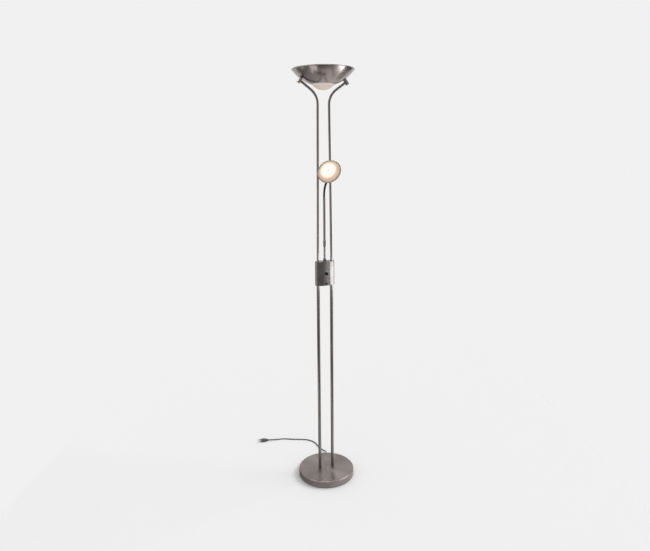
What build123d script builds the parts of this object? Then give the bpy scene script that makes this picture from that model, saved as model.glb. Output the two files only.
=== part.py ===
from build123d import *
from math import acos, cos, radians, sin, sqrt, tan
import os

# Twin-pole floor lamp: a weighted round base, two poles with a control box between them, an uplight
# bowl held by the forked pole ends, and a reading arm with a flexible neck at each end.
# Millimetres, +Z up, front of the lamp towards -Y, origin under the centre of the base.

os.makedirs("parts", exist_ok=True)

# Overall
lamp_height = 1800.0

# Base
base_diameter = 255.0
base_height = 32.0
pad_thickness = 3.0
pad_inset = 3.0
cover_wall = 1.2
cover_edge_radius = 6.0
weight_clearance = 0.6
weight_relief_depth = 8.0
weight_relief_inner = 48.0
weight_rim = 20.0
nut_pocket_depth = 10.0
nut_pocket_diameter = 20.0

# Poles
pole_spacing = 62.0
lower_pole_diameter = 14.0
lower_spigot_diameter = 8.0
lower_pole_bore = 5.0
lower_pole_wall = 1.2
pole_plug = 20.0
upper_pole_diameter = 10.0
upper_spigot_diameter = 6.0
upper_pole_bore = 4.0
pole_lead = 16.0
pole_lead_radius = 1500.0
fork_spacing = 49.0
fork_bend_radius = 70.0

# Nuts, washers and fits
nut_thickness = 4.0
lower_nut_flats = 11.0
upper_nut_flats = 10.0
washer_thickness = 1.5
washer_diameter = 16.0
thread_tail = 2.0
thread_fit = 0.1
hole_fit = 0.2

# Control box
box_bottom = 909.0
box_height = 107.0
box_end_margin = 13.0
box_depth = 40.0
box_wall = 1.5
cap_thickness = 3.0
cap_edge_radius = 1.5
cap_lip_height = 3.0
cap_lip_wall = 1.5
cap_fit = 0.2
flange_thickness = 2.0
web_offset = 8.0
web_thickness = 2.0
web_width = 42.0

# Controls on the front of the box
control_spacing = 43.0
dimmer_collar_diameter = 20.0
dimmer_collar_thickness = 2.0
dimmer_knob_diameter = 13.0
dimmer_knob_length = 9.0
dimmer_knob_taper = 4.0
knob_gap = 0.4
dimmer_body_diameter = 16.0
dimmer_body_length = 9.0
dimmer_bush_diameter = 7.0
shaft_diameter = 5.0
shaft_fit = 0.05
shaft_grip = 6.0
switch_lift = 0.2
switch_collar_diameter = 13.0
switch_collar_thickness = 3.0
switch_button_diameter = 8.0
switch_button_length = 7.0
switch_travel = 2.5
switch_body_diameter = 9.6
switch_body_length = 14.0
switch_stem_diameter = 4.0
moving_gap = 0.3

# Dimmer board
board_thickness = 1.6
board_width = 34.0
board_below = 25.0
board_above = 37.0
spacer_diameter = 6.0
spacer_inset = 5.0
terminal_length = 24.0
terminal_depth = 6.5
terminal_height = 11.0

# Reading arm
nipple_height = 10.0
nipple_foot_diameter = 15.0
neck_diameter = 9.2
neck_groove = 0.6
neck_bore = 4.0
neck_pitch = 4.2
neck_straight = 8.4
lower_neck_length = 53.0
nipple_stud_diameter = 8.0
nipple_nut_flats = 12.0
coupler_length = 28.0
coupler_diameter = 12.6
coupler_groove = 0.9
arm_tube_diameter = 10.2
arm_tube_bore = 7.0
arm_tube_length = 173.0
tip_length = 7.0
tip_diameter = 11.4
upper_neck_bend = 67.0
upper_neck_turn = 52.0

# Reading head
head_diameter = 101.0
head_depth = 38.0
head_wall = 1.0
head_bead = 1.1
head_tilt = 25.0
ferrule_length = 6.0
ferrule_diameter = 12.6
ferrule_stud_diameter = 6.0
glass_diameter = 72.0
glass_thickness = 3.0
glass_recess = 13.0
glass_seat = 2.0
reflector_wall = 0.8
reflector_lip = 1.0
reflector_skirt = 6.0
clip_thickness = 1.0
clip_width = 3.0
holder_setback = 7.0
holder_plate_thickness = 1.0
holder_length = 16.0
holder_width = 14.0
holder_height = 9.0
holder_start = 5.0
capsule_diameter = 9.0
capsule_length = 24.0
back_screw_diameter = 4.0
back_screw_head = 8.0
back_screw_head_height = 2.5

# Uplight bowl
bowl_diameter = 256.0
bowl_opening = 100.0
bowl_depth = 57.0
bowl_wall = 1.2
bowl_bead = 1.6
bowl_ledge = 2.5
dish_drop = 22.2
dish_wall = 3.0
dish_flange = 3.0
dish_fit = 0.4
dish_ring_thickness = 1.5
dish_ring_width = 6.0
barrel_angle = 36.0
barrel_diameter = 16.0
barrel_length = 24.0
barrel_edge = 1.5
barrel_pole_offset = 12.0
pole_seat = 2.5
barrel_screw_diameter = 4.0
barrel_screw_grip = 6.0
barrel_screw_head = 8.0
barrel_screw_head_height = 2.6
strip_thickness = 1.5
strip_width = 16.0
strip_gap = 0.6
strip_tail = 9.0
strip_bend = 10.0
tube_lamp_length = 117.0
tube_lamp_diameter = 11.0
tube_lamp_cap = 7.0
tube_lamp_cap_length = 13.0
tube_holder_length = 14.0
tube_holder_width = 16.0
tube_holder_height = 22.0
tube_axis_height = 13.0
tube_socket_depth = 4.0
tube_socket_fit = 0.4

# Mains lead
cord_diameter = 5.0
cord_exit_height = 12.0
cord_exit_angle = 70.0
gland_length = 20.0
gland_root_diameter = 11.0
gland_tip_diameter = 7.0
gland_neck_diameter = 9.0
gland_flange = 2.0
plug_length = 33.0
plug_width = 23.0
plug_thickness = 11.0
plug_nose = 8.0
pin_diameter = 4.0
pin_length = 19.0
pin_spacing = 18.6
arc_share = 0.45

# Heights and places that follow from the sizes above
base_radius = base_diameter / 2
pole_x = pole_spacing / 2
box_top = box_bottom + box_height
box_width = pole_spacing + 2 * box_end_margin
box_half_width = box_width / 2
box_half_depth = box_depth / 2
inner_half_width = box_half_width - box_wall
inner_half_depth = box_half_depth - box_wall
lip_half_width = inner_half_width - cap_fit
lip_half_depth = inner_half_depth - cap_fit
flange_half_width = lip_half_width - cap_lip_wall - cap_fit
flange_half_depth = lip_half_depth - cap_lip_wall - cap_fit
flange_floor = box_bottom + cap_thickness
flange_roof = box_top - cap_thickness
lip_top = flange_floor + cap_lip_height
switch_height = lip_top + switch_lift + switch_body_diameter / 2
dimmer_height = switch_height + control_spacing
sides = {"left": -1, "right": 1}


def save(piece, node):
    """Label a finished piece and write it as its own file."""
    piece.part.label = node
    export_step(piece.part, f"parts/{node}.step")


def sphere_radius(rim_radius, depth):
    """Radius of the sphere whose cap has this rim radius and depth."""
    return (rim_radius**2 + depth**2) / (2 * depth)


def hex_nuts(node, places, plane, flats, bore):
    """Hexagon nuts at the given places of a plane, one solid each."""
    with BuildPart() as nuts:
        with BuildSketch(plane):
            with Locations(*places):
                RegularPolygon(radius=flats / 2, side_count=6, major_radius=False, rotation=30)
                Circle(bore / 2, mode=Mode.SUBTRACT)
        extrude(amount=nut_thickness)
    save(nuts, node)


pole_places = [(-pole_x, 0), (pole_x, 0)]

# Base: a felt pad, a cast weight and a spun cover over it
weight_top = base_height - cover_wall
weight_radius = base_radius - cover_wall - weight_clearance
nut_seat = pad_thickness + nut_pocket_depth
exit_direction = Vector(cos(radians(cord_exit_angle)), sin(radians(cord_exit_angle)), 0)
exit_centre = exit_direction * base_radius + Vector(0, 0, cord_exit_height)
exit_plane = Plane(origin=exit_centre, x_dir=(0, 0, 1), z_dir=exit_direction)

with BuildPart() as base_pad:
    with BuildSketch():
        Circle(base_radius - pad_inset)
    extrude(amount=pad_thickness)
save(base_pad, "base_pad")

with BuildPart() as base_weight:
    with BuildSketch(Plane.XY.offset(pad_thickness)):
        Circle(weight_radius)
    extrude(amount=weight_top - pad_thickness)
    fillet(base_weight.faces().sort_by(Axis.Z)[-1].edges(), radius=cover_edge_radius)
    with BuildSketch(Plane.XY.offset(pad_thickness)):
        Circle(weight_radius - weight_rim)
        Circle(weight_relief_inner, mode=Mode.SUBTRACT)
    extrude(amount=weight_relief_depth, mode=Mode.SUBTRACT)
    with BuildSketch(Plane.XY.offset(pad_thickness)):
        with Locations(*pole_places):
            Circle(nut_pocket_diameter / 2)
    extrude(amount=nut_pocket_depth, mode=Mode.SUBTRACT)
    with BuildSketch(Plane.XY.offset(pad_thickness)):
        with Locations(*pole_places):
            Circle(lower_spigot_diameter / 2 + hole_fit)
    extrude(amount=base_height, mode=Mode.SUBTRACT)
    with BuildSketch(exit_plane):
        Circle(gland_root_diameter / 2 + gland_flange)
    extrude(amount=-weight_rim - weight_clearance, mode=Mode.SUBTRACT)
save(base_weight, "base_weight")

with BuildPart() as base_cover:
    with BuildSketch(Plane.XY.offset(pad_thickness)):
        Circle(base_radius)
    extrude(amount=base_height - pad_thickness)
    fillet(base_cover.faces().sort_by(Axis.Z)[-1].edges(), radius=cover_edge_radius)
    offset(amount=-cover_wall, openings=base_cover.faces().sort_by(Axis.Z)[0])
    with BuildSketch(Plane.XY.offset(base_height)):
        with Locations(*pole_places):
            Circle(lower_spigot_diameter / 2 + hole_fit)
    extrude(amount=-2 * cover_wall, mode=Mode.SUBTRACT)
    with BuildSketch(exit_plane):
        Circle(gland_neck_diameter / 2 + hole_fit)
    extrude(amount=-4 * cover_wall, mode=Mode.SUBTRACT)
save(base_cover, "base_cover")

with BuildPart() as base_washers:
    with BuildSketch(Plane.XY.offset(nut_seat - washer_thickness)):
        with Locations(*pole_places):
            Circle(washer_diameter / 2)
            Circle(lower_spigot_diameter / 2 + hole_fit, mode=Mode.SUBTRACT)
    extrude(amount=washer_thickness)
save(base_washers, "base_washers")

base_nut_bottom = nut_seat - washer_thickness - nut_thickness
lower_bore_for_nut = lower_spigot_diameter + 2 * thread_fit
hex_nuts("base_nuts", pole_places, Plane.XY.offset(base_nut_bottom), lower_nut_flats, lower_bore_for_nut)

# Lower poles: thin tubes, plugged at each end with a threaded spigot
box_nut_bottom = flange_floor + flange_thickness
lower_pole_top = box_nut_bottom + nut_thickness + thread_tail
lower_pole_bottom = base_nut_bottom - thread_tail
for side, sign in sides.items():
    with BuildPart() as lower_pole:
        with BuildSketch(Plane.XY.offset(base_height)):
            with Locations((sign * pole_x, 0)):
                Circle(lower_pole_diameter / 2)
        extrude(amount=box_bottom - base_height)
        with BuildSketch(Plane.XY.offset(lower_pole_bottom)):
            with Locations((sign * pole_x, 0)):
                Circle(lower_spigot_diameter / 2)
        extrude(amount=lower_pole_top - lower_pole_bottom)
        with BuildSketch(Plane.XY.offset(lower_pole_bottom)):
            with Locations((sign * pole_x, 0)):
                Circle(lower_pole_bore / 2)
        extrude(amount=lower_pole_top - lower_pole_bottom, mode=Mode.SUBTRACT)
        with BuildSketch(Plane.XY.offset(base_height + pole_plug)):
            with Locations((sign * pole_x, 0)):
                Circle(lower_pole_diameter / 2 - lower_pole_wall)
        extrude(amount=box_bottom - base_height - 2 * pole_plug, mode=Mode.SUBTRACT)
    save(lower_pole, f"lower_pole_{side}")

hex_nuts("pole_nuts", pole_places, Plane.XY.offset(box_nut_bottom), lower_nut_flats, lower_bore_for_nut)


# Control box: an oval sleeve between two caps, on a bent steel chassis
def box_cap(node, outer_plane, spigot_holes, stud_hole):
    """Oval end cap with a rounded outer edge and a lip that stands inside the sleeve.

    outer_plane lies on the cap's outside and points into the box.
    """
    with BuildPart() as cap:
        with BuildSketch(outer_plane):
            Ellipse(box_half_width, box_half_depth)
        extrude(amount=cap_thickness)
        outside = cap.faces().filter_by(Axis.Z).sort_by_distance(outer_plane.origin)[0]
        fillet(outside.edges(), radius=cap_edge_radius)
        with BuildSketch(outer_plane.offset(cap_thickness)):
            Ellipse(lip_half_width, lip_half_depth)
            Ellipse(lip_half_width - cap_lip_wall, lip_half_depth - cap_lip_wall, mode=Mode.SUBTRACT)
        extrude(amount=cap_lip_height)
        with BuildSketch(outer_plane):
            with Locations(*pole_places):
                Circle(spigot_holes / 2 + hole_fit)
            if stud_hole:
                Circle(stud_hole / 2 + hole_fit)
        extrude(amount=cap_thickness, mode=Mode.SUBTRACT)
    save(cap, node)


box_cap("box_bottom_cap", Plane.XY.offset(box_bottom), lower_spigot_diameter, 0)
under_top = Plane(origin=(0, 0, box_top), x_dir=(1, 0, 0), z_dir=(0, 0, -1))
box_cap("box_top_cap", under_top, upper_spigot_diameter, nipple_stud_diameter)

dimmer_plane = Plane(origin=(0, -box_half_depth, dimmer_height), x_dir=(1, 0, 0), z_dir=(0, -1, 0))
switch_plane = Plane(origin=(0, -box_half_depth, switch_height), x_dir=(1, 0, 0), z_dir=(0, -1, 0))

with BuildPart() as box_shell:
    with BuildSketch(Plane.XY.offset(flange_floor)):
        Ellipse(box_half_width, box_half_depth)
        Ellipse(inner_half_width, inner_half_depth, mode=Mode.SUBTRACT)
    extrude(amount=flange_roof - flange_floor)
    with BuildSketch(dimmer_plane):
        Circle(dimmer_bush_diameter / 2 + hole_fit)
    extrude(amount=-box_half_depth, mode=Mode.SUBTRACT)
    with BuildSketch(switch_plane):
        Circle(switch_body_diameter / 2 + hole_fit)
    extrude(amount=-box_half_depth, mode=Mode.SUBTRACT)
save(box_shell, "box_shell")

with BuildPart() as box_chassis:
    with BuildSketch(Plane.XY.offset(flange_floor)):
        Ellipse(flange_half_width, flange_half_depth)
        with Locations(*pole_places):
            Circle(lower_spigot_diameter / 2 + hole_fit, mode=Mode.SUBTRACT)
    extrude(amount=flange_thickness)
    with BuildSketch(Plane.XY.offset(flange_roof - flange_thickness)):
        Ellipse(flange_half_width, flange_half_depth)
        with Locations(*pole_places):
            Circle(upper_spigot_diameter / 2 + hole_fit, mode=Mode.SUBTRACT)
        Circle(nipple_stud_diameter / 2 + hole_fit, mode=Mode.SUBTRACT)
    extrude(amount=flange_thickness)
    with BuildSketch(Plane.XY.offset(flange_floor)):
        with Locations((0, web_offset + web_thickness / 2)):
            Rectangle(web_width, web_thickness)
    extrude(amount=flange_roof - flange_floor)
save(box_chassis, "box_chassis")


# Controls: a dimmer with its knob, and a push switch for the reading lamp
def inner_wall_depth(x):
    """Distance of the sleeve's inner face from the box axis, at this distance from the middle."""
    return inner_half_depth * sqrt(1 - (x / inner_half_width) ** 2)


def front_plane(height, y):
    """Plane that faces the front, at this height and place along Y."""
    return Plane(origin=(0, y, height), x_dir=(1, 0, 0), z_dir=(0, -1, 0))


dimmer_body_front = -(inner_wall_depth(dimmer_body_diameter / 2) - shaft_fit)
dimmer_bush_end = -box_half_depth - dimmer_collar_thickness
dimmer_body_back = dimmer_body_front + dimmer_body_length
knob_back = dimmer_bush_end - knob_gap
shaft_depth = dimmer_body_back - shaft_grip

with BuildPart() as dimmer_body:
    with BuildSketch(front_plane(dimmer_height, dimmer_body_back)):
        Circle(dimmer_body_diameter / 2)
    extrude(amount=dimmer_body_length)
    with BuildSketch(front_plane(dimmer_height, dimmer_body_front)):
        Circle(dimmer_bush_diameter / 2)
    extrude(amount=dimmer_body_front - dimmer_bush_end)
    with BuildSketch(front_plane(dimmer_height, shaft_depth)):
        Circle(shaft_diameter / 2 + shaft_fit)
    extrude(amount=shaft_depth - dimmer_bush_end, mode=Mode.SUBTRACT)
save(dimmer_body, "dimmer_body")

with BuildPart() as dimmer_collar:
    with BuildSketch(dimmer_plane):
        Circle(dimmer_collar_diameter / 2)
    extrude(amount=dimmer_collar_thickness)
    chamfer(dimmer_collar.faces().sort_by(Axis.Y)[0].edges(), length=dimmer_collar_thickness / 3)
    with BuildSketch(dimmer_plane):
        Circle(dimmer_bush_diameter / 2 + thread_fit)
    extrude(amount=dimmer_collar_thickness, mode=Mode.SUBTRACT)
save(dimmer_collar, "dimmer_collar")

shaft_end = knob_back - shaft_grip
with BuildPart() as dimmer_shaft:
    with BuildSketch(front_plane(dimmer_height, shaft_depth - moving_gap)):
        Circle(shaft_diameter / 2)
    extrude(amount=shaft_depth - moving_gap - shaft_end)
save(dimmer_shaft, "dimmer_shaft")

with BuildPart() as dimmer_knob:
    with BuildSketch(front_plane(dimmer_height, knob_back)):
        Circle(dimmer_knob_diameter / 2)
    extrude(amount=dimmer_knob_length, taper=dimmer_knob_taper)
    fillet(dimmer_knob.faces().sort_by(Axis.Y)[0].edges(), radius=dimmer_knob_length / 9)
    flute_radius = dimmer_knob_diameter / 12
    with BuildSketch(front_plane(dimmer_height, knob_back - dimmer_knob_length / 4)):
        with PolarLocations(dimmer_knob_diameter / 2, 12):
            Circle(flute_radius)
    extrude(amount=dimmer_knob_length, mode=Mode.SUBTRACT)
    with BuildSketch(front_plane(dimmer_height, knob_back)):
        Circle(shaft_diameter / 2 + shaft_fit)
    extrude(amount=knob_back - shaft_end, mode=Mode.SUBTRACT)
save(dimmer_knob, "dimmer_knob")

switch_back = -box_half_depth + switch_body_length
collar_front = -box_half_depth - switch_collar_thickness
button_back = -box_half_depth + switch_travel + moving_gap
stem_back = button_back + switch_travel + moving_gap
with BuildPart() as switch_body:
    with BuildSketch(front_plane(switch_height, switch_back)):
        Circle(switch_body_diameter / 2)
    extrude(amount=switch_back + box_half_depth)
    with BuildSketch(switch_plane):
        Circle(switch_button_diameter / 2 + moving_gap)
    extrude(amount=-(button_back + switch_travel + moving_gap + box_half_depth), mode=Mode.SUBTRACT)
    with BuildSketch(front_plane(switch_height, stem_back)):
        Circle(switch_stem_diameter / 2 + shaft_fit)
    extrude(amount=-(switch_travel + 2 * moving_gap + switch_stem_diameter / 2), mode=Mode.SUBTRACT)
save(switch_body, "switch_body")

with BuildPart() as switch_collar:
    with BuildSketch(switch_plane):
        Circle(switch_collar_diameter / 2)
    extrude(amount=switch_collar_thickness)
    chamfer(switch_collar.faces().sort_by(Axis.Y)[0].edges(), length=switch_collar_thickness / 3)
    with BuildSketch(switch_plane):
        Circle(switch_button_diameter / 2 + moving_gap)
    extrude(amount=switch_collar_thickness, mode=Mode.SUBTRACT)
save(switch_collar, "switch_collar")

with BuildPart() as switch_button:
    with BuildSketch(front_plane(switch_height, button_back)):
        Circle(switch_button_diameter / 2)
    extrude(amount=button_back - collar_front + switch_button_length - switch_collar_thickness)
    fillet(switch_button.faces().sort_by(Axis.Y)[0].edges(), radius=switch_button_diameter / 6)
    with BuildSketch(front_plane(switch_height, stem_back + switch_stem_diameter / 2)):
        Circle(switch_stem_diameter / 2)
    extrude(amount=stem_back + switch_stem_diameter / 2 - button_back)
save(switch_button, "switch_button")

# Dimmer board between the dimmer's back and the chassis
board_front = dimmer_body_back
board_back = board_front + board_thickness
board_bottom = dimmer_height - board_below
board_middle = dimmer_height + (board_above - board_below) / 2
board_height = board_above + board_below
with BuildPart() as dimmer_board:
    with BuildSketch(front_plane(board_middle, board_back)):
        Rectangle(board_width, board_height)
    extrude(amount=board_thickness)
save(dimmer_board, "dimmer_board")

with BuildPart() as board_spacers:
    with BuildSketch(front_plane(board_middle, web_offset)):
        with GridLocations(board_width - 2 * spacer_inset, board_height - 2 * spacer_inset, 2, 2):
            Circle(spacer_diameter / 2)
    extrude(amount=web_offset - board_back)
save(board_spacers, "board_spacers")

with BuildPart() as terminal_block:
    with BuildSketch(front_plane(board_middle, web_offset + web_thickness + terminal_depth)):
        Rectangle(terminal_length, terminal_height)
    extrude(amount=terminal_depth)
    with BuildSketch(Plane.XY.offset(board_middle)):
        with Locations((0, web_offset + web_thickness + terminal_depth / 2)):
            with GridLocations(terminal_length / 3, 1, 3, 1):
                Circle(terminal_depth / 4)
    extrude(amount=terminal_height, both=True, mode=Mode.SUBTRACT)
save(terminal_block, "terminal_block")

# Uplight bowl: a spun zone of a sphere, open below for a glass dish
rim_radius = bowl_diameter / 2
opening_radius = bowl_opening / 2
bowl_floor = lamp_height - bowl_depth
bowl_rise = (rim_radius**2 - opening_radius**2 - bowl_depth**2) / (2 * bowl_depth)
bowl_sphere = sqrt(rim_radius**2 + bowl_rise**2)
bowl_centre = lamp_height + bowl_rise
bowl_inner = bowl_sphere - bowl_wall


def zone_point(sphere, height):
    """Point of the bowl's section at this height, on a sphere about the bowl's centre."""
    return (sqrt(sphere**2 - (bowl_centre - height) ** 2), height)


def zone_arc(sphere, low, high):
    """Arc of the bowl's section between two heights."""
    return ThreePointArc(
        zone_point(sphere, low), zone_point(sphere, (low + high) / 2), zone_point(sphere, high)
    )


barrel_out = {}
barrel_wall_point = {}
for side, sign in sides.items():
    barrel_out[side] = Vector(sign * sin(radians(barrel_angle)), 0, -cos(radians(barrel_angle)))
    barrel_wall_point[side] = Vector(0, 0, bowl_centre) + barrel_out[side] * bowl_sphere

ledge_top = bowl_floor + bowl_wall
with BuildPart() as bowl:
    with BuildSketch(Plane.XZ):
        with BuildLine():
            zone_arc(bowl_sphere, bowl_floor, lamp_height)
            Line(zone_point(bowl_sphere, lamp_height), zone_point(bowl_inner, lamp_height))
            zone_arc(bowl_inner, ledge_top, lamp_height)
            Polyline(
                zone_point(bowl_inner, ledge_top),
                (opening_radius - bowl_ledge, ledge_top),
                (opening_radius - bowl_ledge, bowl_floor),
                (opening_radius, bowl_floor),
            )
        make_face()
        with Locations((rim_radius - bowl_bead, lamp_height - bowl_bead)):
            Circle(bowl_bead)
    revolve(axis=Axis.Z)
    for side in sides:
        with BuildSketch(Plane(origin=barrel_wall_point[side], z_dir=barrel_out[side])):
            Circle(barrel_screw_diameter / 2 + hole_fit)
        extrude(amount=2 * bowl_wall, both=True, mode=Mode.SUBTRACT)
save(bowl, "bowl")

dish_radius = opening_radius - bowl_ledge - dish_fit
dish_sphere = sphere_radius(dish_radius, dish_drop)
dish_inner = dish_sphere - dish_wall
dish_centre = bowl_floor - dish_drop + dish_sphere
flange_radius = zone_point(bowl_inner, ledge_top)[0] - dish_fit
flange_top = ledge_top + dish_flange
dish_mouth = sqrt(dish_inner**2 - (dish_centre - bowl_floor) ** 2)
half_turn = acos((dish_centre - bowl_floor) / dish_sphere) / 2
half_turn_inner = acos((dish_centre - bowl_floor) / dish_inner) / 2
with BuildPart() as glass_dish:
    with BuildSketch(Plane.XZ):
        with BuildLine():
            ThreePointArc(
                (0, dish_centre - dish_sphere),
                (dish_sphere * sin(half_turn), dish_centre - dish_sphere * cos(half_turn)),
                (dish_radius, bowl_floor),
            )
            Polyline(
                (dish_radius, bowl_floor),
                (dish_radius, ledge_top),
                (flange_radius, ledge_top),
                (flange_radius, flange_top),
                (dish_mouth, flange_top),
                (dish_mouth, bowl_floor),
            )
            ThreePointArc(
                (dish_mouth, bowl_floor),
                (dish_inner * sin(half_turn_inner), dish_centre - dish_inner * cos(half_turn_inner)),
                (0, dish_centre - dish_inner),
            )
            Line((0, dish_centre - dish_inner), (0, dish_centre - dish_sphere))
        make_face()
    revolve(axis=Axis.Z)
save(glass_dish, "glass_dish")

with BuildPart() as dish_ring:
    with BuildSketch(Plane.XY.offset(flange_top)):
        Circle(flange_radius)
        Circle(flange_radius - dish_ring_width, mode=Mode.SUBTRACT)
    extrude(amount=dish_ring_thickness)
save(dish_ring, "dish_ring")

# Barrels on the bowl's wall, and the forked upper poles that plug into them
pole_end = {}
for side, sign in sides.items():
    out = barrel_out[side]
    pole_run = Vector(sign * cos(radians(barrel_angle)), 0, sin(radians(barrel_angle)))
    pole_cross = barrel_wall_point[side] + out * barrel_pole_offset
    pole_end[side] = pole_cross + pole_run * pole_seat
    with BuildPart() as barrel:
        with BuildSketch(Plane(origin=barrel_wall_point[side], z_dir=out)):
            Circle(barrel_diameter / 2)
        extrude(amount=barrel_length)
        outer_face = barrel.faces().sort_by_distance(barrel_wall_point[side] + out * barrel_length)[0]
        fillet(outer_face.edges(), radius=barrel_edge)
        with BuildSketch(Plane(origin=barrel_wall_point[side], z_dir=out)):
            Circle(barrel_screw_diameter / 2 + thread_fit)
        extrude(amount=barrel_screw_grip + thread_tail / 2, mode=Mode.SUBTRACT)
        with BuildSketch(Plane(origin=pole_end[side], z_dir=-pole_run)):
            Circle(upper_pole_diameter / 2 + thread_fit)
        extrude(amount=barrel_diameter, mode=Mode.SUBTRACT)
    save(barrel, f"barrel_{side}")

    rise = (abs(pole_cross.X) - fork_spacing / 2) * tan(radians(barrel_angle))
    fork_corner = Vector(sign * fork_spacing / 2, 0, pole_cross.Z - rise)
    pole_foot = Vector(sign * pole_x, 0, box_top)
    with BuildPart() as upper_pole:
        with BuildLine() as pole_path:
            FilletPolyline(
                pole_foot,
                pole_foot + Vector(0, 0, pole_lead),
                fork_corner,
                pole_end[side],
                radius=[pole_lead_radius, fork_bend_radius],
            )
        with BuildSketch(Plane.XY.offset(box_top)):
            with Locations((sign * pole_x, 0)):
                Circle(upper_pole_diameter / 2)
                Circle(upper_pole_bore / 2, mode=Mode.SUBTRACT)
        sweep(path=pole_path.wire())
        with BuildSketch(Plane.XY.offset(box_top)):
            with Locations((sign * pole_x, 0)):
                Circle(upper_spigot_diameter / 2)
                Circle(upper_pole_bore / 2, mode=Mode.SUBTRACT)
        extrude(amount=-(cap_thickness + flange_thickness + nut_thickness + thread_tail))
    save(upper_pole, f"upper_pole_{side}")

fork_nut_bottom = flange_roof - flange_thickness - nut_thickness
upper_bore_for_nut = upper_spigot_diameter + 2 * thread_fit
hex_nuts("fork_nuts", pole_places, Plane.XY.offset(fork_nut_bottom), upper_nut_flats, upper_bore_for_nut)

# Lamp bridge across the bowl, held under the barrel screws, with the tube lamp and its holders
strip_middle = bowl_inner - strip_gap - strip_thickness / 2
lean = radians(barrel_angle)
strip_seat = Vector(strip_middle * sin(lean), bowl_centre - strip_middle * cos(lean))
strip_end = strip_seat + Vector(cos(lean), sin(lean)) * strip_tail
strip_corner = strip_seat - Vector(cos(lean), sin(lean)) * strip_bend
strip_line = [
    (-strip_end.X, strip_end.Y),
    (-strip_corner.X, strip_corner.Y),
    (strip_corner.X, strip_corner.Y),
    (strip_end.X, strip_end.Y),
]
with BuildPart() as lamp_bridge:
    with BuildSketch(Plane.XZ) as strip_section:
        with BuildLine():
            Polyline(*strip_line)
        trace(line_width=strip_thickness)
    extrude(amount=strip_width / 2, both=True)
    for side in sides:
        with BuildSketch(Plane(origin=barrel_wall_point[side], z_dir=barrel_out[side])):
            Circle(barrel_screw_diameter / 2 + hole_fit)
        extrude(amount=-bowl_sphere / 8, mode=Mode.SUBTRACT)
save(lamp_bridge, "lamp_bridge")

head_seat = strip_middle - strip_thickness / 2
with BuildPart() as barrel_screws:
    for side in sides:
        under_strip = Vector(0, 0, bowl_centre) + barrel_out[side] * head_seat
        with BuildSketch(Plane(origin=under_strip, z_dir=barrel_out[side])):
            Circle(barrel_screw_diameter / 2)
        extrude(amount=bowl_sphere + barrel_screw_grip - head_seat)
        with BuildSketch(Plane(origin=under_strip, z_dir=barrel_out[side])):
            Circle(barrel_screw_head / 2)
        extrude(amount=-barrel_screw_head_height)
save(barrel_screws, "barrel_screws")

strip_top = strip_corner.Y + strip_thickness / 2
tube_axis = strip_top + tube_axis_height
holder_face = tube_lamp_length / 2 - tube_socket_depth + tube_socket_fit
with BuildPart() as tube_holders:
    for sign in sides.values():
        with BuildSketch(Plane.XY.offset(strip_top)):
            with Locations((sign * (holder_face + tube_holder_length / 2), 0)):
                Rectangle(tube_holder_length, tube_holder_width)
        extrude(amount=tube_holder_height)
        with BuildSketch(Plane(origin=(sign * holder_face, 0, tube_axis), z_dir=(sign, 0, 0))):
            Circle(tube_lamp_cap / 2 + tube_socket_fit)
        extrude(amount=tube_socket_depth, mode=Mode.SUBTRACT)
save(tube_holders, "tube_holders")

with BuildPart() as tube_lamp:
    tube_middle = Plane(origin=(0, 0, tube_axis), z_dir=(1, 0, 0))
    with BuildSketch(tube_middle):
        Circle(tube_lamp_diameter / 2)
    extrude(amount=tube_lamp_length / 2 - tube_lamp_cap_length, both=True)
    fillet(tube_lamp.edges().filter_by(GeomType.CIRCLE), radius=tube_lamp_diameter / 4)
    with BuildSketch(tube_middle):
        Circle(tube_lamp_cap / 2)
    extrude(amount=tube_lamp_length / 2, both=True)
save(tube_lamp, "tube_lamp")

# Reading arm: nipple, lower neck, coupler, tube and tip in one upright line
lower_neck_start = box_top + nipple_height
lower_neck_end = lower_neck_start + lower_neck_length
coupler_end = lower_neck_end + coupler_length
tube_end = coupler_end + arm_tube_length
upper_neck_start = tube_end + tip_length

with BuildPart() as arm_nipple:
    with BuildSketch(Plane.XY.offset(box_top)):
        Circle(nipple_foot_diameter / 2)
    with BuildSketch(Plane.XY.offset(box_top + nipple_height / 4)):
        Circle(nipple_foot_diameter / 2)
    with BuildSketch(Plane.XY.offset(lower_neck_start)):
        Circle(tip_diameter / 2)
    loft(ruled=True)
    with BuildSketch(Plane.XY.offset(box_top)):
        Circle(nipple_stud_diameter / 2)
    extrude(amount=-(cap_thickness + flange_thickness + nut_thickness + thread_tail))
    with BuildSketch(Plane.XY.offset(lower_neck_start)):
        Circle(neck_bore / 2)
    extrude(amount=-2 * nipple_height - box_height / 8, mode=Mode.SUBTRACT)
save(arm_nipple, "arm_nipple")

nipple_bore_for_nut = nipple_stud_diameter + 2 * thread_fit
hex_nuts("nipple_nut", [(0, 0)], Plane.XY.offset(fork_nut_bottom), nipple_nut_flats, nipple_bore_for_nut)

groove_radius = coupler_diameter / 2 - coupler_groove
with BuildPart() as arm_coupler:
    with BuildSketch(Plane.XY.offset(lower_neck_end)):
        Circle(coupler_diameter / 2)
    extrude(amount=coupler_length)
    chamfer(arm_coupler.edges().filter_by(GeomType.CIRCLE), length=coupler_groove)
    with BuildSketch(Plane.XZ):
        with Locations((coupler_diameter / 2, (lower_neck_end + coupler_end) / 2)):
            with GridLocations(1, coupler_length / 4, 1, 3):
                Rectangle(2 * coupler_groove, coupler_length / 14)
    revolve(axis=Axis.Z, mode=Mode.SUBTRACT)
    with BuildSketch(Plane.XY.offset(lower_neck_end)):
        Circle(neck_bore / 2)
    extrude(amount=coupler_length, mode=Mode.SUBTRACT)
save(arm_coupler, "arm_coupler")

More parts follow.
